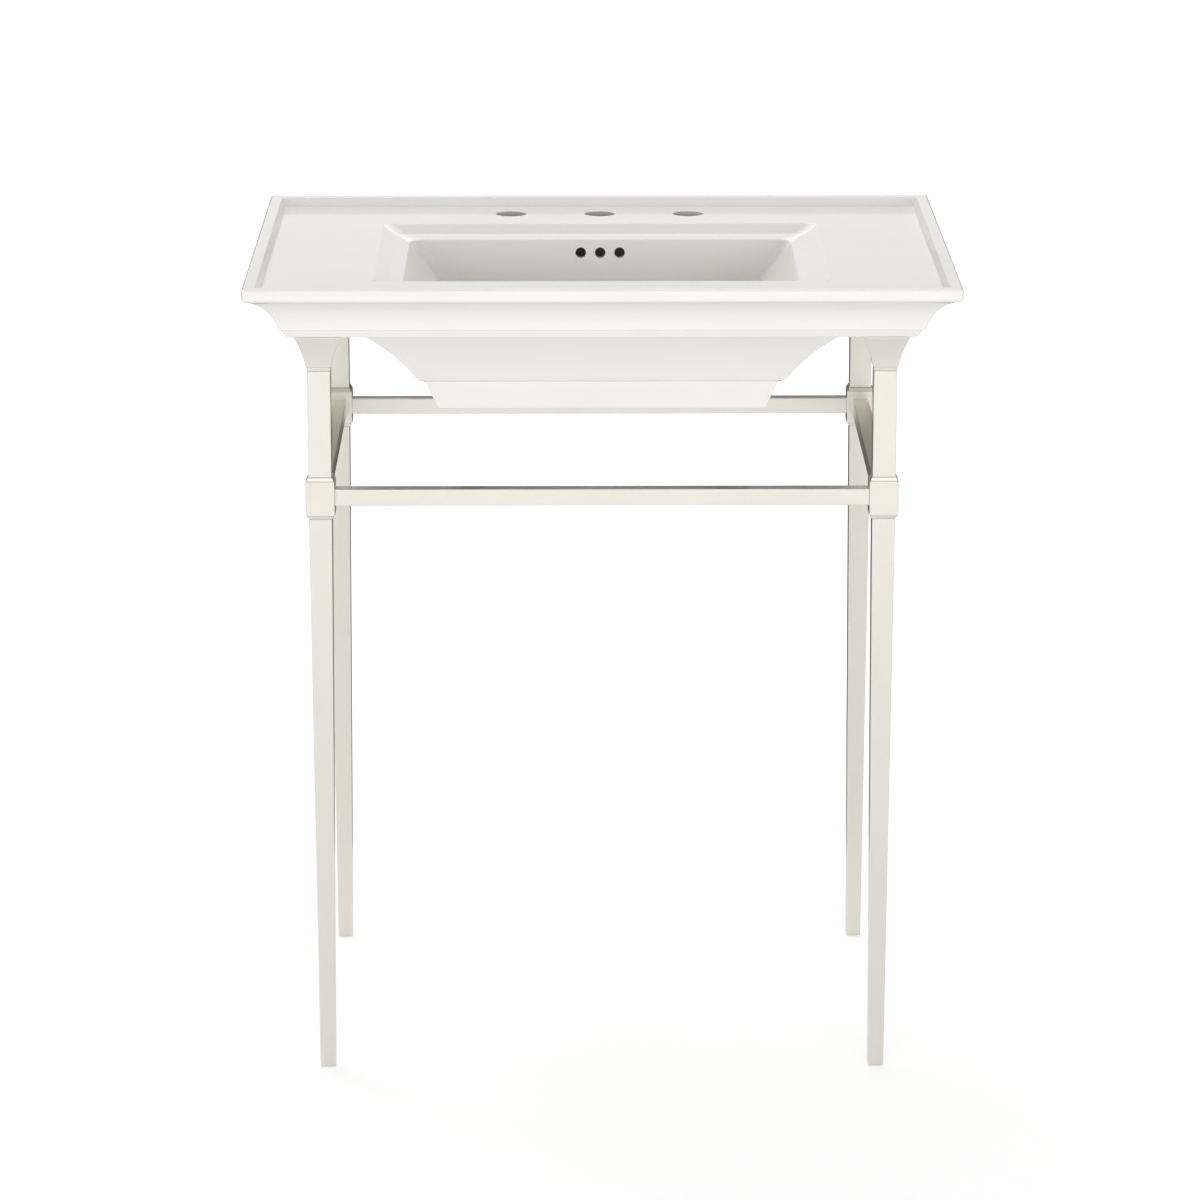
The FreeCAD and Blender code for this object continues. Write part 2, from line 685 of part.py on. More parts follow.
def recess_profile():
    """The rim's inner wall and the hollow at its foot as (inset, level, bend), from above the rim."""
    foot = S.rim_width + S.rim_slope
    edge, edge_across, edge_down = round_reach(S.rim_slope, S.deck_drop, S.rim_edge_round)
    hollow, hollow_across, hollow_down = round_reach(S.rim_slope, S.deck_drop, S.deck_fillet)
    return [
        (S.rim_width - edge, RIM_TOP + CUT_MARGIN, None),
        (S.rim_width - edge, RIM_TOP, (S.rim_edge_round, -1)),
        (S.rim_width + edge_across, RIM_TOP - edge_down, None),
        (foot - hollow_across, DECK + hollow_down, (S.deck_fillet, 1)),
        (foot + hollow, DECK, None),
    ]


def deck_recess():
    """The sunk deck inside the rim, with mitred corners."""
    profile = recess_profile()
    across = across_sink(profile, S.sink_width / 2)
    lengthwise = across_sink(profile, S.sink_depth / 2)
    return mitred("deck_recess", across, lengthwise, S.sink_width, S.sink_depth)


def faucet_holes():
    """Three round holes through the deck behind the bowl."""
    y = BACK - S.faucet_setback
    low = DECK_UNDERSIDE - CUT_MARGIN
    length = S.deck_thickness + CUT_MARGIN * 2
    return [
        cylinder(f"faucet_hole_{step + 2}", S.faucet_hole, length, S.faucet_pitch * step, y, low)
        for step in (-1, 0, 1)
    ]


def wall_bolt_holes():
    """Two round holes through the apron."""
    z = RIM_TOP - S.wall_bolt_drop
    length = S.apron_thickness + CUT_MARGIN * 2
    return [
        cylinder(f"wall_bolt_hole_{word}", S.wall_bolt_hole, length, S.wall_bolt_pitch * sign / 2,
                 BACK + CUT_MARGIN, z, FACING_FRONT)
        for word, sign in SIDES
    ]


def cast_hollows():
    """A closed hollow in the casting at each side, with its vent in the underside."""
    tools = []
    skirt_side = SKIRT_HALF + S.skirt_wall
    for word, sign in SIDES:
        near = skirt_side * sign
        far = (skirt_side + S.cavity_width) * sign
        low_x, high_x = (near, far) if sign > 0 else (far, near)
        half = S.cavity_length / 2
        low = UNDERSIDE + S.cavity_floor
        tools.append(box(f"hollow_{word}", low_x, high_x, -half, half, low, DECK_UNDERSIDE))
        x = (near + far) / 2
        vent_low = UNDERSIDE - CUT_MARGIN
        depth = S.cavity_floor + CUT_MARGIN * 2
        y = S.sink_width * 0
        tools.append(cylinder(f"vent_{word}", S.vent_hole, depth, x, y, vent_low))
    return tools


def drain_cutters():
    """The drain's bore and its seat in the bowl's floor."""
    x = S.sink_width * 0
    depth = S.drain_boss_height + CUT_MARGIN * 2
    low = BOWL_FLOOR - S.drain_boss_height - CUT_MARGIN
    seat_low = BOWL_FLOOR - S.drain_seat_depth
    seat_height = S.drain_seat_depth + CUT_MARGIN
    return [
        cylinder("drain_bore", S.drain_hole, depth, x, DRAIN_Y, low),
        cylinder("drain_seat", S.drain_seat, seat_height, x, DRAIN_Y, seat_low),
    ]


def on_bowl_edge(edge):
    """Whether an edge belongs to the bowl's opening in the deck."""
    bounds = edge.BoundBox
    inside = abs(bounds.XMin) < BOWL_HALF.number + SLACK
    before_holes = bounds.YMax < BOWL_BACK.number + SLACK
    return is_level(edge, DECK) and inside and before_holes and bounds.YMin > BOWL_FRONT.number - SLACK


def basin():
    """The whole sink top in one piece of ceramic."""
    shell = cut("shell", fuse("outer_form", [sink_slab(), sink_skirt()]), [skirt_hollow()])
    zero = S.sink_width * 0
    boss_low = BOWL_FLOOR - S.drain_boss_height
    boss = cylinder("drain_ring", S.drain_boss, S.drain_boss_height - S.bowl_wall / 2, zero, DRAIN_Y,
                    boss_low)
    filled = fuse("filled_form", [shell, bowl_outside(), boss] + overflow_block())
    tools = [deck_recess()] + bowl_inside()
    tools += drain_cutters() + faucet_holes() + wall_bolt_holes() + cast_hollows()
    tools += overflow_duct()
    carved = cut("carved_form", filled, tools)
    return keep(softened("sink_top", carved, [(S.bowl_edge_round, on_bowl_edge)]), "basin")


# ---------------------------------------------------------------- the legs


def square_turning(name, profile):
    """A square piece whose four faces carry the same profile of (half width, level, bend)."""
    outline = both_sides(profile)
    widest = S.capital_width * 2
    return mitred(name, outline, outline, widest, widest)


def capital(corner, x, y):
    """The flared head of a leg, with a spigot for the post and a recess for the nut."""
    top = S.capital_width / 2
    neck = S.neck_width / 2
    collar = S.collar_width / 2
    spigot = TUBE_BORE / 2 - S.fit_gap
    neck_level = -(S.capital_lip + S.flare_height)
    collar_level = neck_level - S.collar_height
    profile = [
        (top, S.capital_width * 0, None),
        (top, -S.capital_lip, (S.flare_radius, 1)),
        (neck, neck_level, None),
        (collar, neck_level - S.block_bevel, None),
        (S.post_width / 2, collar_level, None),
        (spigot, collar_level, None),
        (spigot, collar_level - S.post_spigot, None),
    ]
    form = square_turning(f"{corner}_capital_form", profile)
    zero = S.capital_width * 0
    bore_low = collar_level - S.post_spigot - CUT_MARGIN
    bore_length = -bore_low + CUT_MARGIN
    bore = cylinder(f"{corner}_capital_bore", S.rod_diameter + S.rod_clearance, bore_length, zero,
                    zero, bore_low)
    side = S.nut_recess / 2
    recess = box(f"{corner}_capital_recess", -side, side, -side, side, -S.nut_recess_depth,
                 zero + CUT_MARGIN)
    head = cut(f"{corner}_capital_cut", form, [bore, recess])
    place(head, x, y, CAPITAL_TOP)
    return keep(head, f"{corner}_capital")


def joint_block(corner, side_sign, end_sign, x, y):
    """The block that takes the post, the lower leg and two rails on its spigots."""
    half = S.block_width / 2
    high = S.block_height / 2
    band_end = high + S.block_band_height
    spigot = TUBE_BORE / 2 - S.fit_gap
    spigot_end = band_end + S.post_spigot
    upper = [
        (spigot, spigot_end, None),
        (spigot, band_end, None),
        (S.collar_width / 2, band_end, None),
        (S.band_width / 2, high, None),
        (half - S.block_bevel, high, None),
        (half, high - S.block_bevel, None),
    ]
    lower = [
        (half, S.block_bevel - high, None),
        (half - S.block_bevel, -high, None),
        (S.band_width / 2, -high, None),
        (S.collar_width / 2, -band_end, None),
        (spigot, -band_end, None),
        (spigot, -spigot_end, None),
    ]
    form = square_turning(f"{corner}_block_form", upper + lower)
    rail_half = RAIL_BORE / 2 - S.fit_gap
    reach = half + S.rail_spigot
    zero = S.block_width * 0
    x_low, x_high = (zero, reach) if side_sign < 0 else (-reach, zero)
    y_low, y_high = (zero, reach) if end_sign < 0 else (-reach, zero)
    spigot_x = box(f"{corner}_spigot_x", x_low, x_high, -rail_half, rail_half, -rail_half, rail_half)
    spigot_y = box(f"{corner}_spigot_y", -rail_half, rail_half, y_low, y_high, -rail_half, rail_half)
    solid = fuse(f"{corner}_block_solid", [form, spigot_x, spigot_y])
    bore = cylinder(f"{corner}_block_bore", S.rod_diameter + S.rod_clearance,
                    spigot_end * 2 + CUT_MARGIN * 2, zero, zero, -spigot_end - CUT_MARGIN)
    screw_out = half + S.screw_setback
    groove = S.screw_diameter / 2 + S.groove_gap
    low = -rail_half - CUT_MARGIN
    top = S.screw_length - S.rail_width / 2 + S.groove_gap
    across = rail_half + CUT_MARGIN
    near_x = screw_out * -side_sign
    near_y = screw_out * -end_sign
    tools = [
        bore,
        box(f"{corner}_groove_x", near_x - groove, near_x + groove, -across, across, low, top),
        box(f"{corner}_groove_y", -across, across, near_y - groove, near_y + groove, low, top),
    ]
    block = cut(f"{corner}_block_cut", solid, tools)
    place(block, x, y, BLOCK_CENTRE)
    return keep(block, f"{corner}_joint_block")


def new_body(name, x, y, z):
    """An empty body at a place, labelled with the name of its file."""
    body = doc.addObject("PartDesign::Body", f"{name}_body")
    place(body, x, y, z)
    return keep(body, name)


def pad(body, name, sketch, length):
    """A sketch raised along its normal."""
    feature = body.newObject("PartDesign::Pad", name)
    feature.Profile = sketch
    bind(feature, Length=length)
    return feature


def through_pocket(body, name, sketch, length):
    """A sketch cut along its normal, from its own level."""
    feature = body.newObject("PartDesign::Pocket", name)
    feature.Profile = sketch
    feature.Reversed = True
    bind(feature, Length=length)
    return feature


def square_tube(name, length, width, wall, x, y, z):
    """A square tube with softened corners, standing at a place."""
    body = new_body(name, x, y, z)
    outside = body_sketch(body, f"{name}_outside", "XY_Plane", bevelled_square(width))
    pad(body, f"{name}_pad", outside, length)
    inside = body_sketch(body, f"{name}_inside", "XY_Plane", square(width - wall * 2))
    through_pocket(body, f"{name}_bore", inside, length)
    return body


def upper_post(corner, x, y):
    """The straight square tube between the capital and the joint block."""
    return square_tube(f"{corner}_upper_post", S.post_length, S.post_width, S.tube_wall, x, y,
                       POST_BOTTOM)


def tapered_square(name, foot, head, length):
    """A square bar that widens evenly from its foot to its head."""
    outline = both_sides([(head / 2, length, None), (foot / 2, length * 0, None)])
    return mitred(name, outline, outline, head * 2, head * 2)


def lower_leg(corner, x, y):
    """The long square tube that tapers to the floor."""
    name = f"{corner}_lower_leg"
    length = LEG_TOP - LEG_END
    outside = doc.addObject("PartDesign::Body", f"{name}_outside")
    outside.BaseFeature = tapered_square(f"{name}_bar", S.leg_foot_width, S.post_width, length)
    soften(outside, f"{name}_bevel", "Chamfer", is_upright, Size=S.edge_bevel)
    walls = S.tube_wall * 2
    bore = tapered_square(f"{name}_bore", S.leg_foot_width - walls, S.post_width - walls, length)
    leg = cut(f"{name}_cut", outside, [bore])
    place(leg, x, y, LEG_END)
    return keep(leg, name)


def square_plug(name, width, height, hole, x, y, z):
    """A square plug with a threaded hole through it."""
    body = new_body(name, x, y, z)
    outline = body_sketch(body, f"{name}_outline", "XY_Plane", square(width))
    pad(body, f"{name}_pad", outline, height)
    ring = body_sketch(body, f"{name}_hole_outline", "XY_Plane")
    draw_circle(ring, hole)
    through_pocket(body, f"{name}_hole", ring, height)
    return body


def bore_width_at(level):
    """Width of the lower leg's bore at a level above the floor."""
    share = (level - LEG_END) / (LEG_TOP - LEG_END)
    return S.leg_foot_width + (S.post_width - S.leg_foot_width) * share - S.tube_wall * 2


def leg_plug(corner, x, y):
    """The threaded plug in the top of the lower leg that the tie rod screws into."""
    low = LEG_TOP - S.post_spigot - S.plug_height
    width = bore_width_at(low) - S.fit_gap * 2
    hole = S.rod_diameter + S.thread_gap
    return square_plug(f"{corner}_leg_plug", width, S.plug_height, hole, x, y, low)


def foot_insert(corner, x, y):
    """The threaded plug in the leg's foot that the levelling foot screws into."""
    width = bore_width_at(INSERT_BOTTOM) - S.fit_gap
    hole = S.stud_diameter + S.thread_gap
    return square_plug(f"{corner}_foot_insert", width, S.insert_height, hole, x, y, INSERT_BOTTOM)


def levelling_foot(corner, x, y):
    """A foot that screws into the leg: a hexagon base on the floor and its stud."""
    name = f"{corner}_levelling_foot"
    body = new_body(name, x, y, S.foot_proud * 0)
    base = body_sketch(body, f"{name}_base_outline", "XY_Plane", hexagon(S.foot_width))
    pad(body, f"{name}_base", base, S.foot_base_height)
    stud = body_sketch(body, f"{name}_stud_outline", "XY_Plane")
    draw_circle(stud, S.stud_diameter)
    pad(body, f"{name}_stud", stud, S.foot_base_height + S.stud_length)
    return body


def tie_rod(corner, x, y):
    """The threaded rod that clamps capital, post, block and lower leg together."""
    top = CAPITAL_TOP - S.nut_recess_depth + S.nut_height + S.rod_over_nut
    low = LEG_TOP - S.post_spigot - S.plug_height
    body = new_body(f"{corner}_tie_rod", x, y, low)
    ring = body_sketch(body, f"{corner}_tie_rod_outline", "XY_Plane")
    draw_circle(ring, S.rod_diameter)
    pad(body, f"{corner}_tie_rod_pad", ring, top - low)
    return body


def tie_nut(corner, x, y):
    """The hexagon nut in the capital's recess."""
    name = f"{corner}_tie_nut"
    body = new_body(name, x, y, CAPITAL_TOP - S.nut_recess_depth)
    outline = body_sketch(body, f"{name}_outline", "XY_Plane", hexagon(S.nut_width))
    pad(body, f"{name}_pad", outline, S.nut_height)
    ring = body_sketch(body, f"{name}_thread_outline", "XY_Plane")
    draw_circle(ring, S.rod_diameter + S.thread_gap)
    through_pocket(body, f"{name}_thread", ring, S.nut_height)
    return body


def cushion_pad(corner, x, y):
    """The thin pad between the capital and the ceramic."""
    name = f"{corner}_cushion_pad"
    body = new_body(name, x, y, CAPITAL_TOP)
    outline = body_sketch(body, f"{name}_outline", "XY_Plane", square(S.pad_width))
    pad(body, f"{name}_pad", outline, S.pad_thickness)
    return body


# ---------------------------------------------------------------- the rails


def rail(name, along_x, x, y, length):
    """A square rail between two joint blocks, with a screw hole near each end below."""
    body = new_body(name, x, y, BLOCK_CENTRE)
    plane = "YZ_Plane" if along_x else "XZ_Plane"
    outside = body_sketch(body, f"{name}_outside", plane, bevelled_square(S.rail_width))
    tube = pad(body, f"{name}_pad", outside, length)
    tube.SideType = "Symmetric"
    inside = body_sketch(body, f"{name}_inside", plane, square(RAIL_BORE))
    hollow = body.newObject("PartDesign::Pocket", f"{name}_bore")
    hollow.Profile = inside
    hollow.SideType = "Symmetric"
    bind(hollow, Length=length + CUT_MARGIN * 2)
    drill = body_sketch(body, f"{name}_screw_plan", "XY_Plane")
    reach = length / 2 - S.screw_setback
    hole = S.screw_diameter + S.thread_gap
    for sign in (-1, 1):
        if along_x:
            draw_circle(drill, hole, x=reach * sign)
        else:
            draw_circle_on_y(drill, hole, reach * sign)
    screws = body.newObject("PartDesign::Pocket", f"{name}_screw_holes")
    screws.Profile = drill
    bind(screws, Length=S.rail_width)
    return body


def draw_circle_on_y(sketch, diameter, y):
    """A circle on the sketch's own y axis."""
    centre = Vector(0, y.number, 0)
    index = sketch.addGeometry(Part.Circle(centre, Vector(0, 0, 1), diameter.number / 2))
    sketch.addConstraint(Sketcher.Constraint("PointOnObject", index, 3, -2))
    number = sketch.addConstraint(Sketcher.Constraint("DistanceY", -1, 1, index, 3, y.number))
    sketch.setExpression(f"Constraints[{number}]", y.words)
    number = sketch.addConstraint(Sketcher.Constraint("Diameter", index, diameter.number))
    sketch.setExpression(f"Constraints[{number}]", diameter.words)


def grub_screws(rail_name, along_x, x, y, length):
    """The two socket grub screws that hold a rail on its spigots."""
    name = f"{rail_name}_screws"
    reach = length / 2 - S.screw_setback
    low = BLOCK_CENTRE - S.rail_width / 2
    across_corners = S.screw_socket / round(math.cos(math.pi / 6), 6)
    shanks = []
    sockets = []
    for word, sign in (("a", -1), ("b", 1)):
        screw_x = x + reach * sign if along_x else x
        screw_y = y if along_x else y + reach * sign
        shanks.append(cylinder(f"{name}_{word}", S.screw_diameter, S.screw_length, screw_x, screw_y, low))
        socket = doc.addObject("Part::Prism", f"{name}_{word}_socket")
        socket.Polygon = 6
        bind(socket, Circumradius=across_corners / 2, Height=S.screw_socket_depth + CUT_MARGIN)
        place(socket, screw_x, screw_y, low - CUT_MARGIN)
        sockets.append(socket)
    screws = cut(f"{name}_pair", fuse(f"{name}_shanks", shanks), sockets)
    return keep(screws, name)


def rails():
    """The four rails, level with the middle of the joint blocks."""
    zero = S.sink_width * 0
    across = LEG_X * 2 - S.block_width
    along = LEG_Y["rear"] - LEG_Y["front"] - S.block_width
    middle_y = (LEG_Y["rear"] + LEG_Y["front"]) / 2
    for word, _ in ENDS:
        rail(f"{word}_rail", True, zero, LEG_Y[word], across)
        grub_screws(f"{word}_rail", True, zero, LEG_Y[word], across)
    for word, sign in SIDES:
        rail(f"{word}_rail", False, LEG_X * sign, middle_y, along)
        grub_screws(f"{word}_rail", False, LEG_X * sign, middle_y, along)


def legs():
    """All the pieces of the four legs."""
    for end, end_sign in ENDS:
        for side, side_sign in SIDES:
            corner = f"{end}_{side}"
            x = LEG_X * side_sign
            y = LEG_Y[end]
            cushion_pad(corner, x, y)
            capital(corner, x, y)
            upper_post(corner, x, y)
            joint_block(corner, side_sign, end_sign, x, y)
            lower_leg(corner, x, y)
            leg_plug(corner, x, y)
            tie_rod(corner, x, y)
            tie_nut(corner, x, y)
            foot_insert(corner, x, y)
            levelling_foot(corner, x, y)


def check_model():
    """Stops where an object failed or a sub-part's shape isn't sound."""
    for thing in doc.Objects:
        for state in thing.State:
            if state in ("Invalid", "Error"):
                raise RuntimeError(f"{thing.Name} is in state {state}")
    for subpart in SUBPARTS:
        if subpart.Shape.isNull() or not subpart.Shape.isValid():
            raise RuntimeError(f"{subpart.Label} has no sound shape")


def write_parts():
    """Writes each sub-part to a file of its own name."""
    os.makedirs("parts", exist_ok=True)
    for subpart in SUBPARTS:
        subpart.Shape.exportStep(f"parts/{subpart.Label}.step")


basin()
legs()
rails()
doc.recompute()
check_model()
write_parts()
print(f"{len(SUBPARTS)} sub-parts written")
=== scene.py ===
"""Console sink for a Blender studio: a glazed sink top on a brushed metal stand.

All lengths are in metres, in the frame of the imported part: +X to the right and +Y to the
wall as seen from the front, +Z up, and the floor at zero.
"""

import logging
import math
from dataclasses import dataclass, replace
from enum import Enum
from typing import Any

import bmesh
import bpy
from mathutils import Matrix, Vector


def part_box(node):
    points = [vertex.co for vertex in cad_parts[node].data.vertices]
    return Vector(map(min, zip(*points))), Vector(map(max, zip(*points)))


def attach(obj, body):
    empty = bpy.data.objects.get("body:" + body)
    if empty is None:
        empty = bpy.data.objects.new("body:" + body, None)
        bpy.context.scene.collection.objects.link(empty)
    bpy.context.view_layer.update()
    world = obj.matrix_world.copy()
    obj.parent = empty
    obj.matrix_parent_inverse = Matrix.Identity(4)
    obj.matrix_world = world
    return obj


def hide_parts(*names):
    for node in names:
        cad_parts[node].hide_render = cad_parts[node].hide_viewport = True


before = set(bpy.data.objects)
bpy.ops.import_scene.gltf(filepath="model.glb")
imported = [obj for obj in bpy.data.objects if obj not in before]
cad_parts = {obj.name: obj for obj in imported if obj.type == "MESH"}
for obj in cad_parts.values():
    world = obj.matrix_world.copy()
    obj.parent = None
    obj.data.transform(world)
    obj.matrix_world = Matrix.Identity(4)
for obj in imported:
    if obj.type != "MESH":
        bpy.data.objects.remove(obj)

LOG = logging.getLogger("console_sink")
CORNERS = ("front_left", "front_right", "rear_left", "rear_right")
CONSOLE = "console"
MERGE = 1e-6
ALONG_GRAIN = 0.012
BRUSHED_BANDS = 260.0
NOISE_SPAN = (0.35, 0.65)
QUARTER_TURN = math.radians(90)
WHITE = (1.0, 1.0, 1.0, 1.0)
BLACK = (0.0, 0.0, 0.0, 1.0)

Form = bmesh.types.BMesh
Object = bpy.types.Object
Material = bpy.types.Material
Tree = bpy.types.NodeTree
Node = bpy.types.Node
Socket = bpy.types.NodeSocket
Inputs = dict[str | int, Any]
Pair = tuple[float, float]
Triple = tuple[float, float, float]


# ---------------------------------------------------------------- forms made of rings


@dataclass(frozen=True)
class Stop:
    """A level corner line on the way along a form, before its bend is rounded.

    Attributes:
        side: distance from the form's axis to its left and right faces.
        front: distance from the axis to the front face.
        back: distance from the axis to the back face.
        level: height.
        bend: radius of the round across this line.
        corner: radius of the form's four corners in plan.
    """

    side: float
    front: float
    back: float
    level: float
    bend: float = 0.0
    corner: float = 0.0


def square_stops(*rows: tuple[float, ...]) -> list[Stop]:
    """Stops of a square form, from rows of half its width, level, bend and corner."""
    return [Stop(half, half, half, *rest) for half, *rest in rows]


def arc_points(start: Pair, end: Pair, radius: float, turn: int, steps: int) -> list[Pair]:
    """Points along an arc between two points, both of them left out.

    Args:
        start: first end of the arc.
        end: last end of the arc.
        radius: its radius.
        turn: 1 where the arc turns left on its way, -1 where it turns right.
        steps: number of straight pieces.

    Returns:
        The points between the ends.
    """
    first = Vector(start)
    last = Vector(end)
    chord = last - first
    rise = math.sqrt(max(radius * radius - chord.length_squared / 4, 0.0))
    left = Vector((-chord.y, chord.x)).normalized()
    centre = (first + last) / 2 + left * rise * turn
    angle = 2 * math.asin(min(chord.length / 2 / radius, 1.0)) * turn
    points = []
    for step in range(1, steps):
        turned = first - centre
        turned.rotate(Matrix.Rotation(angle * step / steps, 2))
        points.append(tuple(centre + turned))
    return points


def rounded_line(line: list[Triple], steps: int) -> list[list[Pair]]:
    """Rounds the bends of a closed line.

    Args:
        line: (distance, level, radius of the bend) at each corner.
        steps: number of straight pieces in each round.

    Returns:
        For each corner, its points: one, or the points of its round.
    """
    found = []
    for index, (distance, level, radius) in enumerate(line):
        here = Vector((distance, level))
        if radius <= 0:
            found.append([tuple(here)])
            continue
        before = Vector(line[index - 1][:2]) - here
        after = Vector(line[(index + 1) % len(line)][:2]) - here
        half_angle = before.angle(after) / 2
        reach = radius / math.tan(half_angle)
        start = here + before.normalized() * reach
        end = here + after.normalized() * reach
        inwards = (before.normalized() + after.normalized()).normalized()
        centre = here + inwards * radius / math.sin(half_angle)
        sweep = (start - centre).angle_signed(end - centre)
        points = []
        for step in range(steps + 1):
            spoke = start - centre
            spoke.rotate(Matrix.Rotation(-sweep * step / steps, 2))
            points.append(tuple(centre + spoke))
        found.append(points)
    return found


def ring_points(side: Pair, front: Pair, back: Pair, corner: float, per_corner: int) -> list[Vector]:
    """The points of a closed loop, anticlockwise from its right-hand face.

    Args:
        side: distance and level of the left and right faces.
        front: distance and level of the front face.
        back: distance and level of the back face.
        corner: radius of the corners in plan.
        per_corner: number of straight pieces in each rounded corner.

    Returns:
        The points, with the first once more at the end.
    """
    corners = ((1, 1, back[0], side[1], back[1]), (-1, 1, back[0], back[1], side[1]),
               (-1, -1, front[0], side[1], front[1]), (1, -1, front[0], front[1], side[1]))
    points = []
    for number, (x_sign, y_sign, depth, start_level, end_level) in enumerate(corners):
        centre_x = (side[0] - corner) * x_sign
        centre_y = (depth - corner) * y_sign
        for step in range(per_corner + 1):
            share = step / per_corner
            angle = (number + share) * QUARTER_TURN
            x = centre_x + corner * math.cos(angle)
            y = centre_y + corner * math.sin(angle)
            points.append(Vector((x, y, start_level + (end_level - start_level) * share)))
    return points + points[:1]


def form(stops: list[Stop], steps: int = 4, per_corner: int = 6, closed: bool = True) -> Form:
    """A form whose skin runs through stops, with a round at each stop that has a bend.

    Args:
        stops: the form's corner lines in order.
        steps: number of straight pieces in each round across a line.
        per_corner: number of straight pieces in each plan corner.
        closed: whether the last stop joins the first; if not, both ends are capped.

    Returns:
        The form as a bmesh with its faces outwards.
    """
    lines = [rounded_line([(getattr(stop, face), stop.level, stop.bend) for stop in stops], steps)
             for face in ("side", "front", "back")]
    rings = []
    for stop, *faces in zip(stops, *lines):
        rings += [ring_points(*points, stop.corner, per_corner) for points in zip(*faces)]
    if closed:
        rings.append(rings[0])
    around = 4 * (per_corner + 1)
    mesh = bmesh.new()
    bmesh.ops.create_grid(mesh, x_segments=around, y_segments=len(rings) - 1, size=1.0)
    grid = sorted(mesh.verts, key=lambda vert: (round(vert.co.y, 4), round(vert.co.x, 4)))
    for row, points in enumerate(rings):
        for vert, point in zip(grid[row * (around + 1):(row + 1) * (around + 1)], points):
            vert.co = point
    bmesh.ops.remove_doubles(mesh, verts=mesh.verts, dist=MERGE)
    if not closed:
        bmesh.ops.edgeloop_fill(mesh, edges=[edge for edge in mesh.edges if edge.is_boundary])
    bmesh.ops.recalc_face_normals(mesh, faces=mesh.faces)
    return mesh


def turned_form(radii: list[Pair], place: Matrix) -> Form:
    """A round bar through (radius, level) along its own axis, in its place."""
    stops = square_stops(*((radius, level, 0.0, radius) for radius, level in radii))
    return moved(form(stops, closed=False, per_corner=9), place)


def block_form(low: Vector, high: Vector) -> Form:
    """A plain box between two corners.

    Args:
        low: lowest corner.
        high: highest corner.

    Returns:
        The box as a bmesh.
    """
    mesh = bmesh.new()
    bmesh.ops.create_cube(mesh, size=1.0)
    bmesh.ops.scale(mesh, vec=high - low, verts=mesh.verts)
    bmesh.ops.translate(mesh, vec=(low + high) / 2, verts=mesh.verts)
    return mesh


def moved(mesh: Form, place: Matrix) -> Form:
    """The same form, turned and shifted to its place."""
    bmesh.ops.transform(mesh, matrix=place, verts=mesh.verts)
    return mesh


def saw_off(mesh: Form, place: Triple, way: Triple) -> None:
    """Takes off what lies beyond a plane, and closes the cut.

    Args:
        mesh: the form.
        place: a point of the plane.
        way: the side that goes.
    """
    cut = bmesh.ops.bisect_plane(mesh, geom=mesh.verts[:] + mesh.edges[:] + mesh.faces[:],
                                 plane_co=place, plane_no=way, clear_outer=True)
    rim = [item for item in cut["geom_cut"] if isinstance(item, bmesh.types.BMEdge)]
    bmesh.ops.edgeloop_fill(mesh, edges=rim)
    bmesh.ops.recalc_face_normals(mesh, faces=mesh.faces)


def make_object(name: str, mesh: Form) -> Object:
    """Makes an object at the origin from a form.

    Args:
        name: the object's name.
        mesh: the form, which is used up.

    Returns:
        The object.
    """
    data = bpy.data.meshes.new(name)
    mesh.to_mesh(data)
    mesh.free()
    piece = bpy.data.objects.new(name, data)
    bpy.context.scene.collection.objects.link(piece)
    return piece


def combine(piece: Object, tools: list[Object], operation: str = "DIFFERENCE") -> None:
    """Cuts tools out of a piece, or joins them to it, and removes them.

    Args:
        piece: the piece that changes.
        tools: closed objects.
        operation: DIFFERENCE or UNION.
    """
    for tool in tools:
        modifier = piece.modifiers.new("combine", "BOOLEAN")
        modifier.operation = operation
        modifier.solver = "EXACT"
        modifier.object = tool
    graph = bpy.context.evaluated_depsgraph_get()
    baked = bpy.data.meshes.new_from_object(piece.evaluated_get(graph))
    piece.modifiers.clear()
    piece.data = baked
    for tool in tools:
        bpy.data.objects.remove(tool)


def paint(pieces: list[Object], finishes: list[Material], chosen: int) -> None:
    """Gives pieces a list of finishes and puts all their faces into one of them.

    Args:
        pieces: the pieces.
        finishes: the list.
        chosen: the place in the list of the faces' finish.
    """
    for piece in pieces:
        piece.data.materials.clear()
        for finish in finishes:
            piece.data.materials.append(finish)
        piece.data.polygons.foreach_set("material_index", [chosen] * len(piece.data.polygons))


def finish_shading(piece: Object, crease: float = 35.0) -> None:
    """Shades a piece smooth, with creases where its faces meet sharply.

    Args:
        piece: the piece.
        crease: angle from which an edge stays sharp, in degrees.
    """
    piece.data.polygons.foreach_set("use_smooth", [True] * len(piece.data.polygons))
    piece.data.set_sharp_from_angle(angle=math.radians(crease))
    weighted = piece.modifiers.new("flat faces stay flat", "WEIGHTED_NORMAL")
    weighted.keep_sharp = True


# ---------------------------------------------------------------- finishes


class Grain(Enum):
    """The axis along which a brushed face was rubbed."""

    UPRIGHT = "Z"
    ACROSS = "X"
    LENGTHWISE = "Y"

    def stretch(self) -> Triple:
        """The stretch of its pattern along X, Y and Z."""
        return tuple(ALONG_GRAIN if axis == self.value else 1.0 for axis in "XYZ")


def feed(tree: Tree, node: Node, inputs: Inputs) -> None:
    """Sets a node's inputs, or links them.

    Args:
        tree: the node's tree.
        node: the node.
        inputs: a value or a socket for each input, by name or by number.
    """
    for label, given in inputs.items():
        if isinstance(given, Socket):
            tree.links.new(given, node.inputs[label])
        else:
            node.inputs[label].default_value = given


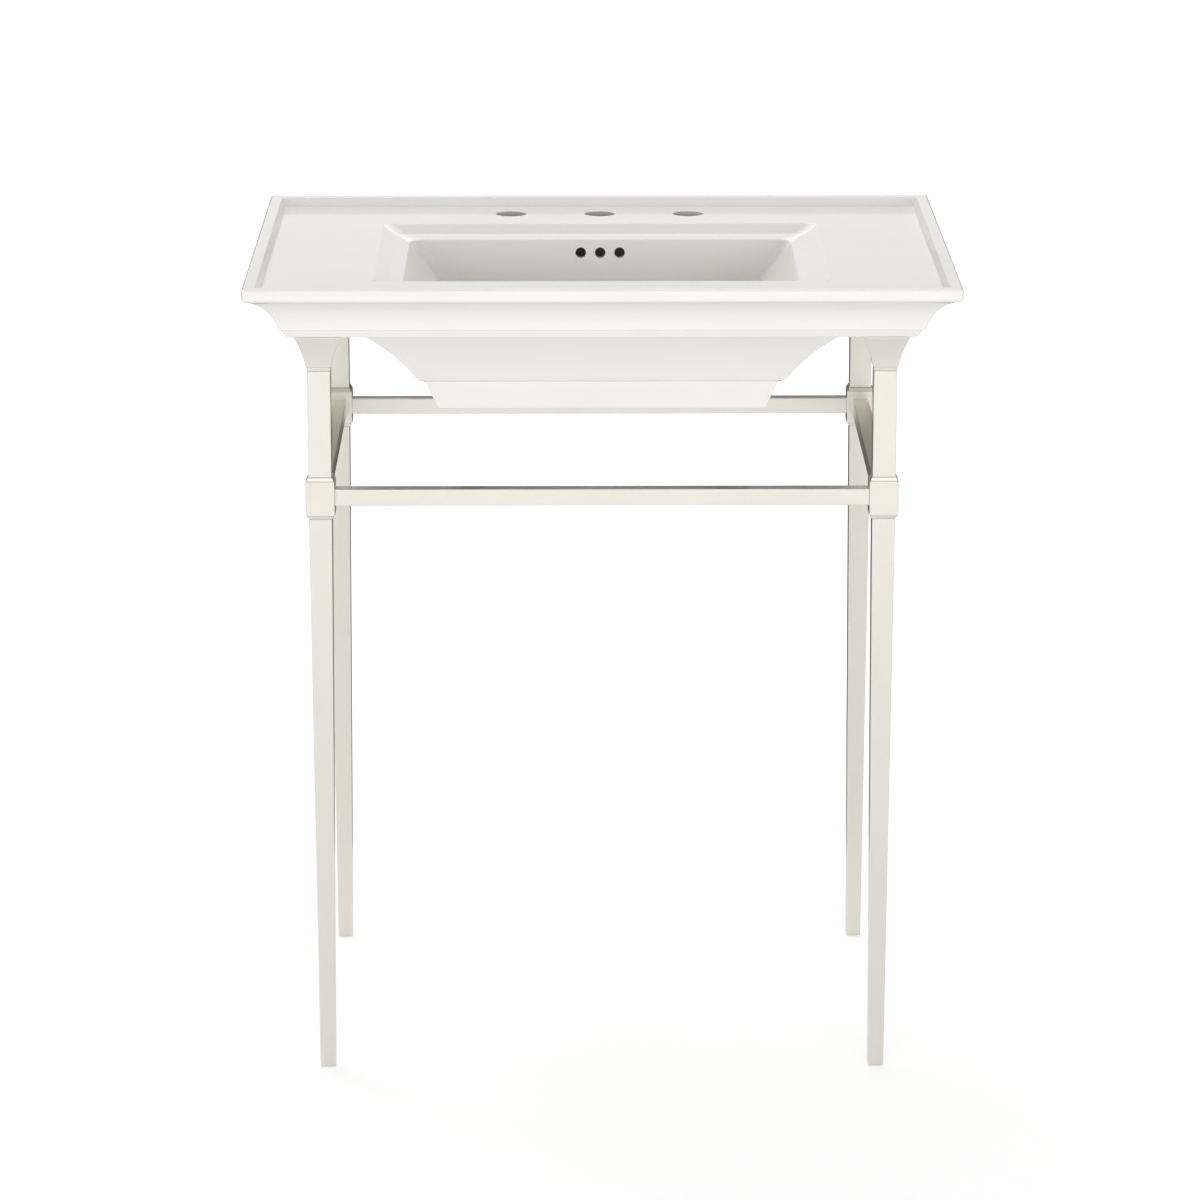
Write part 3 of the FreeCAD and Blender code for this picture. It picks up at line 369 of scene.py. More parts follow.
def add_node(tree: Tree, kind: str, inputs: Inputs, **settings: str) -> Node:
    """Adds a shader node.

    Args:
        tree: the tree that it goes into.
        kind: its type, without the opening ShaderNode.
        inputs: a value or a socket for each input.
        **settings: the node's options.

    Returns:
        The node.
    """
    node = tree.nodes.new(f"ShaderNode{kind}")
    for label, option in settings.items():
        setattr(node, label, option)
    feed(tree, node, inputs)
    return node


def new_group(name: str, inputs: dict[str, float], output: str) -> tuple[Tree, Node, Node]:
    """An empty shader node group with value inputs and one value output.

    Args:
        name: the group's name.
        inputs: default of each input.
        output: name of its output.

    Returns:
        The group, its input node and its output node.
    """
    group = bpy.data.node_groups.new(name, "ShaderNodeTree")
    for label, value in inputs.items():
        socket = group.interface.new_socket(name=label, in_out="INPUT", socket_type="NodeSocketFloat")
        socket.default_value = value
    group.interface.new_socket(name=output, in_out="OUTPUT", socket_type="NodeSocketFloat")
    return group, group.nodes.new("NodeGroupInput"), group.nodes.new("NodeGroupOutput")


def noise_value(tree: Tree, scale: float | Socket, detail: float,
                stretch: Triple = (1.0, 1.0, 1.0)) -> Socket:
    """A noise texture on object coordinates.

    Args:
        tree: the tree that it goes into.
        scale: the noise's scale.
        detail: octaves of the noise.
        stretch: scale of the coordinates along X, Y and Z.

    Returns:
        The noise's value.
    """
    coordinates = add_node(tree, "TexCoord", {}).outputs["Object"]
    mapping = add_node(tree, "Mapping", {"Vector": coordinates, "Scale": stretch})
    return add_node(tree, "TexNoise", {
        "Vector": mapping.outputs["Vector"], "Scale": scale, "Detail": detail}).outputs["Fac"]


def mottle_group() -> Tree:
    """A soft patchy mask, from Low to High, that slowly changes over a surface.

    Returns:
        The node group, made on first use.
    """
    found = bpy.data.node_groups.get("mottle")
    if found:
        return found
    group, entry, end = new_group("mottle", {"Scale": 12.0, "Low": 0.0, "High": 1.0}, "Mask")
    lowest, highest = NOISE_SPAN
    span = add_node(group, "MapRange", {
        "Value": noise_value(group, entry.outputs["Scale"], detail=4.0),
        "From Min": lowest, "From Max": highest,
        "To Min": entry.outputs["Low"], "To Max": entry.outputs["High"]})
    feed(group, end, {"Mask": span.outputs["Result"]})
    return group


def brushing_group(grain: Grain) -> Tree:
    """Fine scratches along one axis, with long faint bands among them.

    Args:
        grain: the way in which the face was rubbed.

    Returns:
        The node group, made on first use.
    """
    name = f"brushing_{grain.name.lower()}"
    found = bpy.data.node_groups.get(name)
    if found:
        return found
    group, entry, end = new_group(name, {"Fineness": 1300.0, "Banding": 0.15}, "Scratches")
    mix = add_node(group, "Mix", {
        "Factor": entry.outputs["Banding"],
        "A": noise_value(group, entry.outputs["Fineness"], detail=3.0, stretch=grain.stretch()),
        "B": noise_value(group, BRUSHED_BANDS, detail=1.0, stretch=grain.stretch())})
    feed(group, end, {"Scratches": mix.outputs["Result"]})
    return group


def place_group(tree: Tree, group: Tree, **values: float) -> Socket:
    """Puts a node group into a material with its own values.

    Args:
        tree: the material's tree.
        group: the group.
        **values: the inputs' values, by name.

    Returns:
        The group's output.
    """
    node = tree.nodes.new("ShaderNodeGroup")
    node.node_tree = group
    feed(tree, node, values)
    return node.outputs[0]


def uneven(tree: Tree, patches: float, roughness: float, spread: Pair) -> Socket:
    """A roughness that changes a little from patch to patch."""
    low, high = spread
    return place_group(tree, mottle_group(), Scale=patches, Low=roughness * low, High=roughness * high)


def blank_material(name: str) -> tuple[Material, Tree, Node]:
    """A new material.

    Args:
        name: the material's name.

    Returns:
        The material, its tree and its Principled node.
    """
    material = bpy.data.materials.new(name)
    material.use_nodes = True
    return material, material.node_tree, material.node_tree.nodes["Principled BSDF"]


def bumped(tree: Tree, height: Socket, depth: float) -> Socket:
    """The normal of a relief whose height runs over a real depth."""
    return add_node(tree, "Bump", {"Height": height, "Distance": depth}).outputs["Normal"]


def tinted(tree: Tree, mask: Socket, first: Triple, second: Triple) -> Socket:
    """Two linear colours mixed by a mask, which is 0 at the first."""
    inputs = {"Factor": mask, "A": (*first, 1.0), "B": (*second, 1.0)}
    return add_node(tree, "Mix", inputs, data_type="RGBA").outputs["Result"]


@dataclass(frozen=True)
class Glaze:
    """Gloss glaze on vitreous ceramic, a warm white that pools a little unevenly."""

    thin: Triple = (0.866, 0.846, 0.800)
    thick: Triple = (0.882, 0.864, 0.822)
    roughness: float = 0.09
    refraction: float = 1.52
    reflectance: float = 0.28
    ripple: float = 0.00006
    waves: float = 55.0
    pools: float = 7.0
    gloss_patches: float = 30.0
    gloss_spread: Pair = (0.8, 1.3)

    def material(self) -> Material:
        """Makes the glaze.

        Returns:
            The material.
        """
        material, tree, shader = blank_material("warm white glaze")
        pools = place_group(tree, mottle_group(), Scale=self.pools)
        feed(tree, shader, {
            "Base Color": tinted(tree, pools, self.thin, self.thick),
            "Normal": bumped(tree, noise_value(tree, self.waves, detail=2.0), self.ripple),
            "Roughness": uneven(tree, self.gloss_patches, self.roughness, self.gloss_spread),
            "IOR": self.refraction,
            "Specular IOR Level": self.reflectance,
        })
        return material


@dataclass(frozen=True)
class BrushedNickel:
    """Satin nickel plate, rubbed along the length of each piece."""

    grain: Grain
    bright: Triple = (0.842, 0.812, 0.738)
    dull: Triple = (0.822, 0.792, 0.718)
    roughness: float = 0.31
    sideways_gloss: float = 0.0
    scratch_depth: float = 0.000001
    gloss_patches: float = 12.0
    gloss_spread: Pair = (0.96, 1.04)

    def material(self) -> Material:
        """Makes the plate.

        Returns:
            The material.
        """
        material, tree, shader = blank_material(f"brushed nickel {self.grain.name.lower()}")
        scratches = place_group(tree, brushing_group(self.grain))
        across = add_node(tree, "Tangent", {}, direction_type="RADIAL", axis=self.grain.value)
        feed(tree, shader, {
            "Base Color": tinted(tree, scratches, self.dull, self.bright),
            "Normal": bumped(tree, scratches, self.scratch_depth),
            "Roughness": uneven(tree, self.gloss_patches, self.roughness, self.gloss_spread),
            "Tangent": across.outputs["Tangent"],
            "Anisotropic": self.sideways_gloss,
            "Metallic": 1.0,
        })
        return material


@dataclass(frozen=True)
class Mottled:
    """A plain finish in two close tones, with a soft relief or fine pits where it has them."""

    name: str
    dark: Triple
    pale: Triple
    patches: float
    roughness: float
    metallic: float = 0.0
    relief: float = 0.0
    pits: float = 0.0
    pit_scale: float = 420.0

    def material(self) -> Material:
        """Makes the finish.

        Returns:
            The material.
        """
        material, tree, shader = blank_material(self.name)
        mask = place_group(tree, mottle_group(), Scale=self.patches)
        feed(tree, shader, {"Base Color": tinted(tree, mask, self.dark, self.pale),
                            "Roughness": self.roughness, "Metallic": self.metallic})
        if self.relief:
            feed(tree, shader, {"Normal": bumped(tree, mask, self.relief)})
        if self.pits:
            grit = noise_value(tree, self.pit_scale, detail=8.0)
            feed(tree, shader, {"Normal": bumped(tree, grit, self.pits)})
        return material


BARE_CLAY = Mottled("bare fired clay", (0.58, 0.53, 0.45), (0.70, 0.66, 0.58), 24.0, 0.72, pits=0.0002)
# The overflow's inside is the bare clay in much darker tones: unglazed clay in truth, with painted shade of
# the deep passage on it.
CLAY_WITH_PAINTED_OVERFLOW_SHADE = replace(BARE_CLAY, name="bare clay with painted overflow shade", dark=(0.13, 0.10, 0.07),
                           pale=(0.20, 0.155, 0.11))
ZINC_PLATE = Mottled("zinc plated steel", (0.42, 0.43, 0.46), (0.62, 0.63, 0.65), 160.0, 0.36, metallic=1.0)
SOFT_RUBBER = Mottled("soft rubber", (0.52, 0.50, 0.46), (0.66, 0.64, 0.60), 90.0, 0.55)
NYLON = Mottled("moulded nylon", (0.52, 0.50, 0.45), (0.60, 0.58, 0.53), 200.0, 0.45, relief=0.00003)


# ---------------------------------------------------------------- the sink top


@dataclass
class SinkTop:
    """The ceramic top: rim, deck, bowl, moulded edge and skirt in one casting.

    Its cutters reach a margin beyond what they cut, and lie some hairs apart where their
    faces would otherwise share a plane.
    """

    rim_width: float = 0.0135
    rim_slope: float = 0.005
    rim_edge_round: float = 0.0015
    deck_drop: float = 0.010
    deck_hollow: float = 0.0035
    band_height: float = 0.0145
    band_top_round: float = 0.003
    band_low_round: float = 0.005
    band_shelf: float = 0.006
    band_corner: float = 0.0035
    moulding_height: float = 0.060
    moulding_inset: float = 0.045
    cove_radius: float = 0.0495
    bead_height: float = 0.0095
    bead_step: float = 0.0035
    bead_step_fall: float = 0.0011
    bead_slant: float = 0.0027
    bead_round: float = 0.0023
    mitre_corner: float = 0.0012
    glaze_round: float = 0.0008
    skirt_side_inset: float = 0.1245
    skirt_front_inset: float = 0.055
    skirt_cove_run: float = 0.0577
    skirt_cove_fall: float = 0.0612
    skirt_cove_radius: float = 0.230
    skirt_step_run: float = 0.0079
    skirt_step_fall: float = 0.0032
    skirt_band_run: float = 0.0105
    skirt_low_round: float = 0.0028
    skirt_wall: float = 0.012
    apron: float = 0.012
    bowl_side_margin: float = 0.135
    bowl_front_margin: float = 0.101
    bowl_back_margin: float = 0.127
    bowl_edge_round: float = 0.0025
    bowl_corner: float = 0.010
    lip_run: float = 0.016
    lip_fall: float = 0.009
    ledge_run: float = 0.014
    ledge_fall: float = 0.0048
    ledge_round: float = 0.003
    ledge_corner: float = 0.0136
    bowl_depth: float = 0.127
    wall_corner: float = 0.017
    floor_round: float = 0.018
    dish_depth: float = 0.009
    dish_width: float = 0.170
    side_wall_run: float = 0.088
    front_wall_run: float = 0.062
    back_wall_run: float = 0.006
    bowl_wall: float = 0.012
    drain_hole: float = 0.0445
    drain_seat: float = 0.066
    drain_seat_depth: float = 0.003
    drain_ring: float = 0.084
    drain_ring_height: float = 0.020
    drain_setback: float = 0.266
    overflow_hole: float = 0.012
    overflow_pitch: float = 0.022
    overflow_drop: float = 0.038
    duct_width: float = 0.064
    duct_gap: float = 0.011
    duct_wall: float = 0.009
    outlet_width: float = 0.018
    outlet_height: float = 0.007
    faucet_hole: float = 0.035
    faucet_pitch: float = 0.1016
    faucet_setback: float = 0.063
    faucet_edge_round: float = 0.0010
    faucet_edge_angles: tuple[float, ...] = (0.0, 20.0, 40.0, 60.0, 80.0)
    deck_thickness: float = 0.012
    bolt_hole: float = 0.011
    bolt_pitch: float = 0.280
    bolt_drop: float = 0.041
    vent_hole: float = 0.008
    vent_depth: float = 0.011
    vent_inset: float = 0.0885
    margin: float = 0.005
    hair: float = 0.0001
    sawn_length: float = 0.060
    skirt_back_lean: float = 0.1

    def __post_init__(self) -> None:
        """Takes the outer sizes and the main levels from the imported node."""
        low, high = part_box("basin")
        self.half_width = high.x
        self.half_depth = high.y
        self.rim_top = high.z
        self.deck = self.rim_top - self.deck_drop
        self.underside = self.rim_top - self.moulding_height
        self.skirt_bottom = low.z
        self.bowl_floor = self.deck - self.bowl_depth
        self.drain_y = self.half_depth - self.drain_setback
        self.bowl_back = self.half_depth - self.bowl_back_margin - self.lip_run - self.ledge_run

    def edge_stop(self, inset: float, level: float, bend: float = 0.0, corner: float = 0.0,
                  in_front_of_wall: bool = False) -> Stop:
        """A stop at an even inset all round, or with its back sawn off beyond the wall's face."""
        back = self.half_depth - inset + (0.0 if in_front_of_wall else self.sawn_length)
        return Stop(self.half_width - inset, self.half_depth - inset, back, level, bend, corner)

    def round_stop(self, radius: float, level: float) -> Stop:
        """A round stop about the drain's axis."""
        return Stop(radius, radius - self.drain_y, radius + self.drain_y, level, 0.0, radius)

    def bowl_stop(self, insets: Triple, level: float, bend: float, corner: float) -> Stop:
        """A stop of the bowl, with insets from its opening at the side, front and back."""
        side, front, back = insets
        return Stop(self.half_width - self.bowl_side_margin - side,
                    self.half_depth - self.bowl_front_margin - front,
                    self.half_depth - self.bowl_back_margin - back, level, bend, corner)

    def drain_stops(self) -> list[Stop]:
        """The drain's bore and seat and the dish round them, from below."""
        bore = self.drain_hole / 2
        seat = self.drain_seat / 2
        seat_level = self.bowl_floor - self.drain_seat_depth
        return [
            self.round_stop(bore, self.skirt_bottom),
            self.round_stop(bore, seat_level),
            self.round_stop(seat, seat_level),
            self.round_stop(seat, self.bowl_floor),
            self.round_stop(self.dish_width / 2, self.bowl_floor + self.dish_depth),
        ]

    def bowl_stops(self) -> list[Stop]:
        """The bowl from its floor to its opening in the deck."""
        shelf = self.lip_run + self.ledge_run
        walls = (shelf + self.side_wall_run, shelf + self.front_wall_run, shelf + self.back_wall_run)
        lip_level = self.deck - self.lip_fall
        floor_edge = self.bowl_floor + self.dish_depth
        lip = (self.lip_run,) * 3
        return [
            self.bowl_stop(walls, floor_edge, self.floor_round, self.wall_corner),
            self.bowl_stop((shelf,) * 3, lip_level - self.ledge_fall, self.ledge_round, self.ledge_corner),
            self.bowl_stop(lip, lip_level, self.ledge_round, self.bowl_corner),
            self.bowl_stop((0.0,) * 3, self.deck, self.bowl_edge_round, self.bowl_corner),
        ]

    def rim_stops(self) -> list[Stop]:
        """The hollow at the deck's edge, the rim and its outer band."""
        foot = self.rim_width + self.rim_slope
        soft = self.mitre_corner
        band_low = self.rim_top - self.band_height
        return [
            self.edge_stop(foot, self.deck, self.deck_hollow, soft, True),
            self.edge_stop(self.rim_width, self.rim_top, self.rim_edge_round, soft, True),
            self.edge_stop(0.0, self.rim_top, self.band_top_round, self.band_corner),
            self.edge_stop(0.0, band_low, self.band_low_round, self.band_corner),
        ]

    def moulding_stops(self) -> list[Stop]:
        """The cove and the bead under the band, down to the flat underside."""
        cove_end = self.moulding_inset - self.bead_round - self.bead_slant - self.bead_step
        cove_level = self.underside + self.bead_height
        start = (self.band_shelf, self.rim_top - self.band_height)
        end = (cove_end, cove_level)
        bead_top = (cove_end + self.bead_step, cove_level - self.bead_step_fall)
        soft = self.mitre_corner
        stops = [self.edge_stop(*start, self.glaze_round, soft)]
        stops += [self.edge_stop(*point, 0.0, soft)
                  for point in arc_points(start, end, self.cove_radius, turn=-1, steps=14)]
        return stops + [
            self.edge_stop(*end, self.glaze_round, soft),
            self.edge_stop(*bead_top, self.glaze_round, soft),
            self.edge_stop(self.moulding_inset, self.underside, self.bead_round, soft),
        ]

    def skirt_stop(self, inset: float, level: float, bend: float = 0.0) -> Stop:
        """A stop at an even inset from the skirt's top edge, and always beyond the wall's face."""
        return Stop(self.half_width - self.skirt_side_inset - inset,
                    self.half_depth - self.skirt_front_inset - inset,
                    self.half_depth + self.skirt_wall - inset * self.skirt_back_lean,
                    level, bend, self.mitre_corner)

    def skirt_stops(self) -> list[Stop]:
        """The skirt's outer face: cove, step and leaning band."""
        start = (0.0, self.underside)
        cove_level = self.underside - self.skirt_cove_fall
        end = (self.skirt_cove_run, cove_level)
        step = self.skirt_cove_run + self.skirt_step_run
        foot = step + self.skirt_band_run + self.skirt_low_round
        stops = [self.skirt_stop(*start, self.glaze_round)]
        stops += [self.skirt_stop(*point)
                  for point in arc_points(start, end, self.skirt_cove_radius, turn=-1, steps=12)]
        return stops + [
            self.skirt_stop(*end, self.glaze_round),
            self.skirt_stop(step, cove_level - self.skirt_step_fall, self.glaze_round),
            self.skirt_stop(foot, self.skirt_bottom, self.skirt_low_round),
        ]

    def outer_form(self) -> Form:
        """The whole top with its bowl and drain, still solid underneath."""
        stops = self.drain_stops() + self.bowl_stops() + self.rim_stops()
        mesh = form(stops + self.moulding_stops() + self.skirt_stops(), steps=6, per_corner=8)
        saw_off(mesh, (0, self.half_depth, 0), (0, 1, 0))
        return mesh

    def hollow_form(self) -> Form:
        """The space inside the skirt, before the bowl is taken from it."""
        slope = math.hypot(self.skirt_cove_run, self.skirt_cove_fall)
        across = self.skirt_wall * self.skirt_cove_fall / slope
        along = self.skirt_wall * self.skirt_cove_run / slope
        start = (self.skirt_wall, self.underside + self.skirt_wall)
        end = (self.skirt_cove_run + across, self.underside - self.skirt_cove_fall + along)
        foot = (self.skirt_cove_run + self.skirt_step_run + self.skirt_band_run
                + self.skirt_low_round + self.skirt_wall)
        stops = [self.skirt_stop(self.skirt_wall, self.deck - self.deck_thickness)]
        stops.append(self.skirt_stop(*start))
        stops += [self.skirt_stop(*point) for point in
                  arc_points(start, end, self.skirt_cove_radius + self.skirt_wall, turn=-1, steps=12)]
        stops.append(self.skirt_stop(*end))
        stops.append(self.skirt_stop(foot, self.skirt_bottom - self.margin))
        return form(stops, closed=False, per_corner=3)

    def outer_wall_stop(self, depth: float, bend: float, corner: float) -> Stop:
        """A stop of the bowl's walls, one wall thickness outside them.

        Args:
            depth: distance below the ledge.
            bend: radius of the round across the line.
            corner: radius of the plan corners.

        Returns:
            The stop.
        """
        ledge = self.deck - self.lip_fall - self.ledge_fall
        fall = ledge - self.bowl_floor - self.dish_depth
        insets = []
        for run in (self.side_wall_run, self.front_wall_run, self.back_wall_run):
            outwards = self.bowl_wall * (math.hypot(run, fall) - run) / fall
            insets.append(self.lip_run + self.ledge_run + run * depth / fall - outwards)
        return self.bowl_stop(tuple(insets), ledge - depth - self.bowl_wall, bend, corner)

    def bowl_outside_form(self) -> Form:
        """The bowl's outer walls."""
        wall = self.bowl_wall
        slope = math.hypot(self.lip_run, self.lip_fall)
        growth = wall * (slope - self.lip_run) / self.lip_fall
        depth = self.deck - self.lip_fall - self.ledge_fall - self.bowl_floor
        soft = self.mitre_corner
        stops = [
            self.bowl_stop((-growth,) * 3, self.deck - self.deck_thickness / 2, 0.0, soft),
            self.bowl_stop((-growth,) * 3, self.deck - wall, 0.0, soft),
            self.bowl_stop((self.lip_run - growth,) * 3, self.deck - self.lip_fall - wall, 0.0, soft),
            self.outer_wall_stop(0.0, self.band_low_round, self.band_low_round),
            self.outer_wall_stop(depth, self.band_low_round, self.band_low_round),
            self.round_stop(self.drain_hole / 2, self.bowl_floor - wall),
        ]
        return form(stops, closed=False, per_corner=6)

    def overflow_ducts(self) -> list[Object]:
        """Cutters of the overflow's drop behind the bowl and of its outlet under the floor."""
        duct_front = self.bowl_back + self.duct_wall
        duct_back = duct_front + self.duct_gap
        level = self.rim_top - self.overflow_drop
        outlet_low = self.bowl_floor - self.drain_ring_height + self.duct_wall / 2
        half = self.duct_width / 2
        drop = block_form(Vector((-half, duct_front, outlet_low)),
                          Vector((half, duct_back, level + self.overflow_hole)))
        half = self.outlet_width / 2
        outlet = block_form(Vector((-half, self.drain_y, outlet_low + self.hair * 2.5)),
                            Vector((half, duct_back - self.hair * 5, outlet_low + self.outlet_height)))
        return [make_object("duct_drop", drop), make_object("duct_outlet", outlet)]

    def overflow_holes(self) -> list[Object]:
        """Cutters of the overflow's three holes."""
        start = self.bowl_back + self.duct_wall + self.duct_gap / 2
        length = self.duct_gap / 2 + self.duct_wall + self.back_wall_run + self.margin
        level = self.rim_top - self.overflow_drop
        turn = Matrix.Rotation(QUARTER_TURN, 4, "X")
        radii = [(self.overflow_hole / 2, 0.0), (self.overflow_hole / 2, length)]
        return [make_object(f"overflow_hole_{step + 2}", turned_form(
            radii, Matrix.Translation((self.overflow_pitch * step, start, level)) @ turn))
            for step in (-1, 0, 1)]

    def faucet_holes(self, finishes: list[Material]) -> list[Object]:
        """Cutters of the three faucet holes, each with its glaze-rounded edge and bare wall.

        Args:
            finishes: the top's finishes.

        Returns:
            The cutters.
        """
        radius = self.faucet_hole / 2
        soft = self.faucet_edge_round
        radii = [(radius, -self.deck_thickness - self.margin)]
        for angle in map(math.radians, self.faucet_edge_angles):
            radii.append((radius + soft * (1 - math.cos(angle)), soft * (math.sin(angle) - 1)))
        radii.append((radii[-1][0] + soft, self.margin / 2))
        y = self.half_depth - self.faucet_setback
        tools = [make_object(f"faucet_hole_{step + 2}", turned_form(
            radii, Matrix.Translation((self.faucet_pitch * step, y, self.deck))))
            for step in (-1, 0, 1)]
        paint(tools, finishes, 0)
        for tool in tools:
            for face in tool.data.polygons:
                if face.center.z < self.deck - soft * 2:
                    face.material_index = 1
        return tools

    def fixing_tools(self) -> list[Object]:
        """Cutters of the wall bolt holes and of the vents in the underside."""
        turn = Matrix.Rotation(QUARTER_TURN, 4, "X")
        length = self.apron + self.margin * 2
        tools = []
        for side in (-1, 1):
            bolt = Matrix.Translation((self.bolt_pitch / 2 * side, self.half_depth + self.margin,
                                       self.rim_top - self.bolt_drop)) @ turn
            radius = self.bolt_hole / 2
            tools.append(make_object("bolt_hole", turned_form([(radius, 0.0), (radius, length)], bolt)))
            vent = Matrix.Translation(((self.half_width - self.vent_inset) * side, 0.0, self.underside))
            radius = self.vent_hole / 2
            radii = [(radius, -self.margin), (radius, self.vent_depth)]
            tools.append(make_object("vent", turned_form(radii, vent)))
        return tools

    def underside_tool(self) -> Object:
        """The cutter that leaves the skirt, the bowl's outside, the drain ring and the duct."""
        tool = make_object("underside", self.hollow_form())
        behind = self.half_depth - self.apron
        reach = self.half_width
        low = self.bowl_floor - self.drain_ring_height
        ring = self.drain_ring / 2
        ring_height = self.drain_ring_height - self.bowl_wall / 2
        wall = self.duct_wall
        rib_back = self.bowl_back + wall * 2 + self.duct_gap
        half = self.duct_width / 2 + wall
        foot = self.outlet_width / 2 + wall
        forms = {
            "apron": block_form(Vector((-reach, behind, self.underside)),
                                Vector((reach, behind + self.margin * 3, self.rim_top))),
            "bowl_outside": self.bowl_outside_form(),
            "ring": turned_form([(ring, 0.0), (ring, ring_height)],
                                Matrix.Translation((0.0, self.drain_y, low))),
            "rib": block_form(Vector((-half, self.bowl_back - self.back_wall_run, low + self.hair * 2)),
                              Vector((half, rib_back, self.deck - self.deck_thickness / 2))),
            "foot": block_form(Vector((-foot, self.drain_y, low + self.hair * 4)),
                               Vector((foot, rib_back - self.hair * 5, self.bowl_floor - self.bowl_wall / 3))),
        }
        keepers = [make_object(name, mesh) for name, mesh in forms.items()]
        combine(tool, keepers)
        return tool

    def build(self, finishes: list[Material]) -> Object:
        """Builds and dresses the sink top.

        Args:
            finishes: those of the faces that show, of those underneath and of the overflow's inside, whose
                much darker clay is painted shade.

        Returns:
            The finished piece.
        """
        top = make_object("sink_top", self.outer_form())
        hidden = self.underside_tool()
        paint([top], finishes, 0)
        paint([hidden], finishes, 1)
        combine(top, [hidden])
        ducts = self.overflow_ducts()
        glazed = self.overflow_holes()
        bare = self.fixing_tools()
        # The overflow's inside gets the darkened clay, which paints the shade inside the passage.
        paint(ducts, finishes, 2)
        paint(glazed, finishes, 0)
        paint(bare, finishes, 1)
        combine(top, ducts + glazed + bare + self.faucet_holes(finishes))
        finish_shading(top)
        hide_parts("basin")
        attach(top, CONSOLE)
        LOG.info("sink top: %d faces", len(top.data.polygons))
        return top


# ---------------------------------------------------------------- the legs


@dataclass
class Leg:
    """One leg: capital, upper post, joint block and tapered lower leg."""

    corner: str
    capital_lip: float = 0.0014
    flare_radius: float = 0.120
    neck_width: float = 0.0274
    collar_width: float = 0.0263
    collar_height: float = 0.0045
    spigot_width: float = 0.0216
    spigot_length: float = 0.010
    rod_bore: float = 0.0085
    nut_recess: float = 0.020
    nut_recess_depth: float = 0.011
    tube_wall: float = 0.0015
    block_width: float = 0.0315
    band_width: float = 0.0294
    block_band_height: float = 0.004
    foot_width: float = 0.017
    soft_edge: float = 0.0009
    block_edge: float = 0.0013
    crisp: float = 0.0004
    rail_spigot_width: float = 0.0136
    rail_spigot: float = 0.016
    seam: float = 0.0003
    groove_width: float = 0.0007
    groove_depth: float = 0.0010

    def __post_init__(self) -> None:
        """Takes the leg's axis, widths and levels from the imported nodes."""
        low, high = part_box(f"{self.corner}_upper_post")
        self.post_low = low.z
        self.post_high = high.z
        self.post_width = high.x - low.x
        self.axis = Vector(((low.x + high.x) / 2, (low.y + high.y) / 2, 0.0))
        low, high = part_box(f"{self.corner}_capital")
        self.capital_top = high.z
        self.capital_width = high.x - low.x
        low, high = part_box(f"{self.corner}_lower_leg")
        self.leg_low = low.z
        self.leg_high = high.z

    def stand(self, node: str, stops: list[Stop], finish: Material) -> Object:
        """Builds a piece round the leg's axis and lets it stand for its node.

        Args:
            node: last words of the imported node's name.
            stops: the piece's corner lines.
            finish: its material.

        Returns:
            The piece.
        """
        mesh = moved(form(stops, steps=3, per_corner=4), Matrix.Translation(self.axis))
        piece = make_object(f"{self.corner}_{node}_plated", mesh)
        piece.data.materials.append(finish)
        finish_shading(piece)
        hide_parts(f"{self.corner}_{node}")
        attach(piece, CONSOLE)
        return piece

    def capital_stops(self) -> list[Stop]:
        """The flared head with its collar, spigot, bore and nut recess."""
        top = self.capital_top
        half = self.capital_width / 2
        neck = self.neck_width / 2
        collar_top = self.post_high + self.collar_height
        flare = ((half, top - self.capital_lip), (neck, collar_top))
        bore = self.rod_bore / 2
        recess = self.nut_recess / 2
        recess_floor = top - self.nut_recess_depth
        spigot = self.spigot_width / 2
        spigot_end = self.post_high - self.spigot_length
        edge = self.soft_edge
        groove = self.collar_width / 2 - self.groove_depth
        stops = square_stops((half, top, self.crisp, edge), (*flare[0], self.crisp, edge))
        stops += square_stops(*((*point, 0.0, edge) for point in
                                arc_points(*flare, self.flare_radius, turn=1, steps=14)))
        return stops + square_stops(
            (neck, collar_top, 0.0, edge),
            (groove, collar_top, 0.0, edge),
            (groove, collar_top - self.groove_width, 0.0, edge),
            (self.collar_width / 2, collar_top - self.groove_width, 0.0, edge),
            (self.post_width / 2, self.post_high, 0.0, edge),
            (spigot, self.post_high, 0.0, edge),
            (spigot, spigot_end, 0.0, edge),
            (bore, spigot_end, 0.0, bore),
            (bore, recess_floor, 0.0, bore),
            (recess, recess_floor, 0.0, edge),
            (recess, top, 0.0, edge),
        )

    def post_stops(self) -> list[Stop]:
        """The upper post, a square tube."""
        half = self.post_width / 2
        bore = half - self.tube_wall
        high = self.post_high - self.seam
        low = self.post_low + self.seam
        return square_stops(
            (half, high, self.crisp, self.soft_edge),
            (half, low, self.crisp, self.soft_edge),
            (bore, low, 0.0, self.crisp),
            (bore, high, 0.0, self.crisp),
        )

    def block_stops(self) -> list[Stop]:
        """The joint block, its bands and its upper and lower spigots."""
        half = self.block_width / 2
        band = self.band_width / 2
        collar = self.collar_width / 2
        spigot = self.spigot_width / 2
        bore = self.rod_bore / 2
        high = self.post_low - self.block_band_height
        low = self.leg_high + self.block_band_height
        edge = self.block_edge
        soft = self.soft_edge
        groove = band - self.groove_depth
        upper_end = self.post_low + self.spigot_length
        lower_end = self.leg_high - self.spigot_length
        return square_stops(
            (spigot, upper_end, 0.0, soft),
            (spigot, self.post_low, 0.0, soft),
            (collar, self.post_low, self.crisp, soft),
            (band, high + self.groove_width, 0.0, soft),
            (groove, high + self.groove_width, 0.0, soft),
            (groove, high, 0.0, soft),
            (half, high, self.crisp, edge),
            (half, low, self.crisp, edge),
            (groove, low, 0.0, soft),
            (groove, low - self.groove_width, 0.0, soft),
            (band, low - self.groove_width, 0.0, soft),
            (collar, self.leg_high, self.crisp, soft),
            (spigot, self.leg_high, 0.0, soft),
            (spigot, lower_end, 0.0, soft),
            (bore, lower_end, 0.0, bore),
            (bore, upper_end, 0.0, bore),
        )

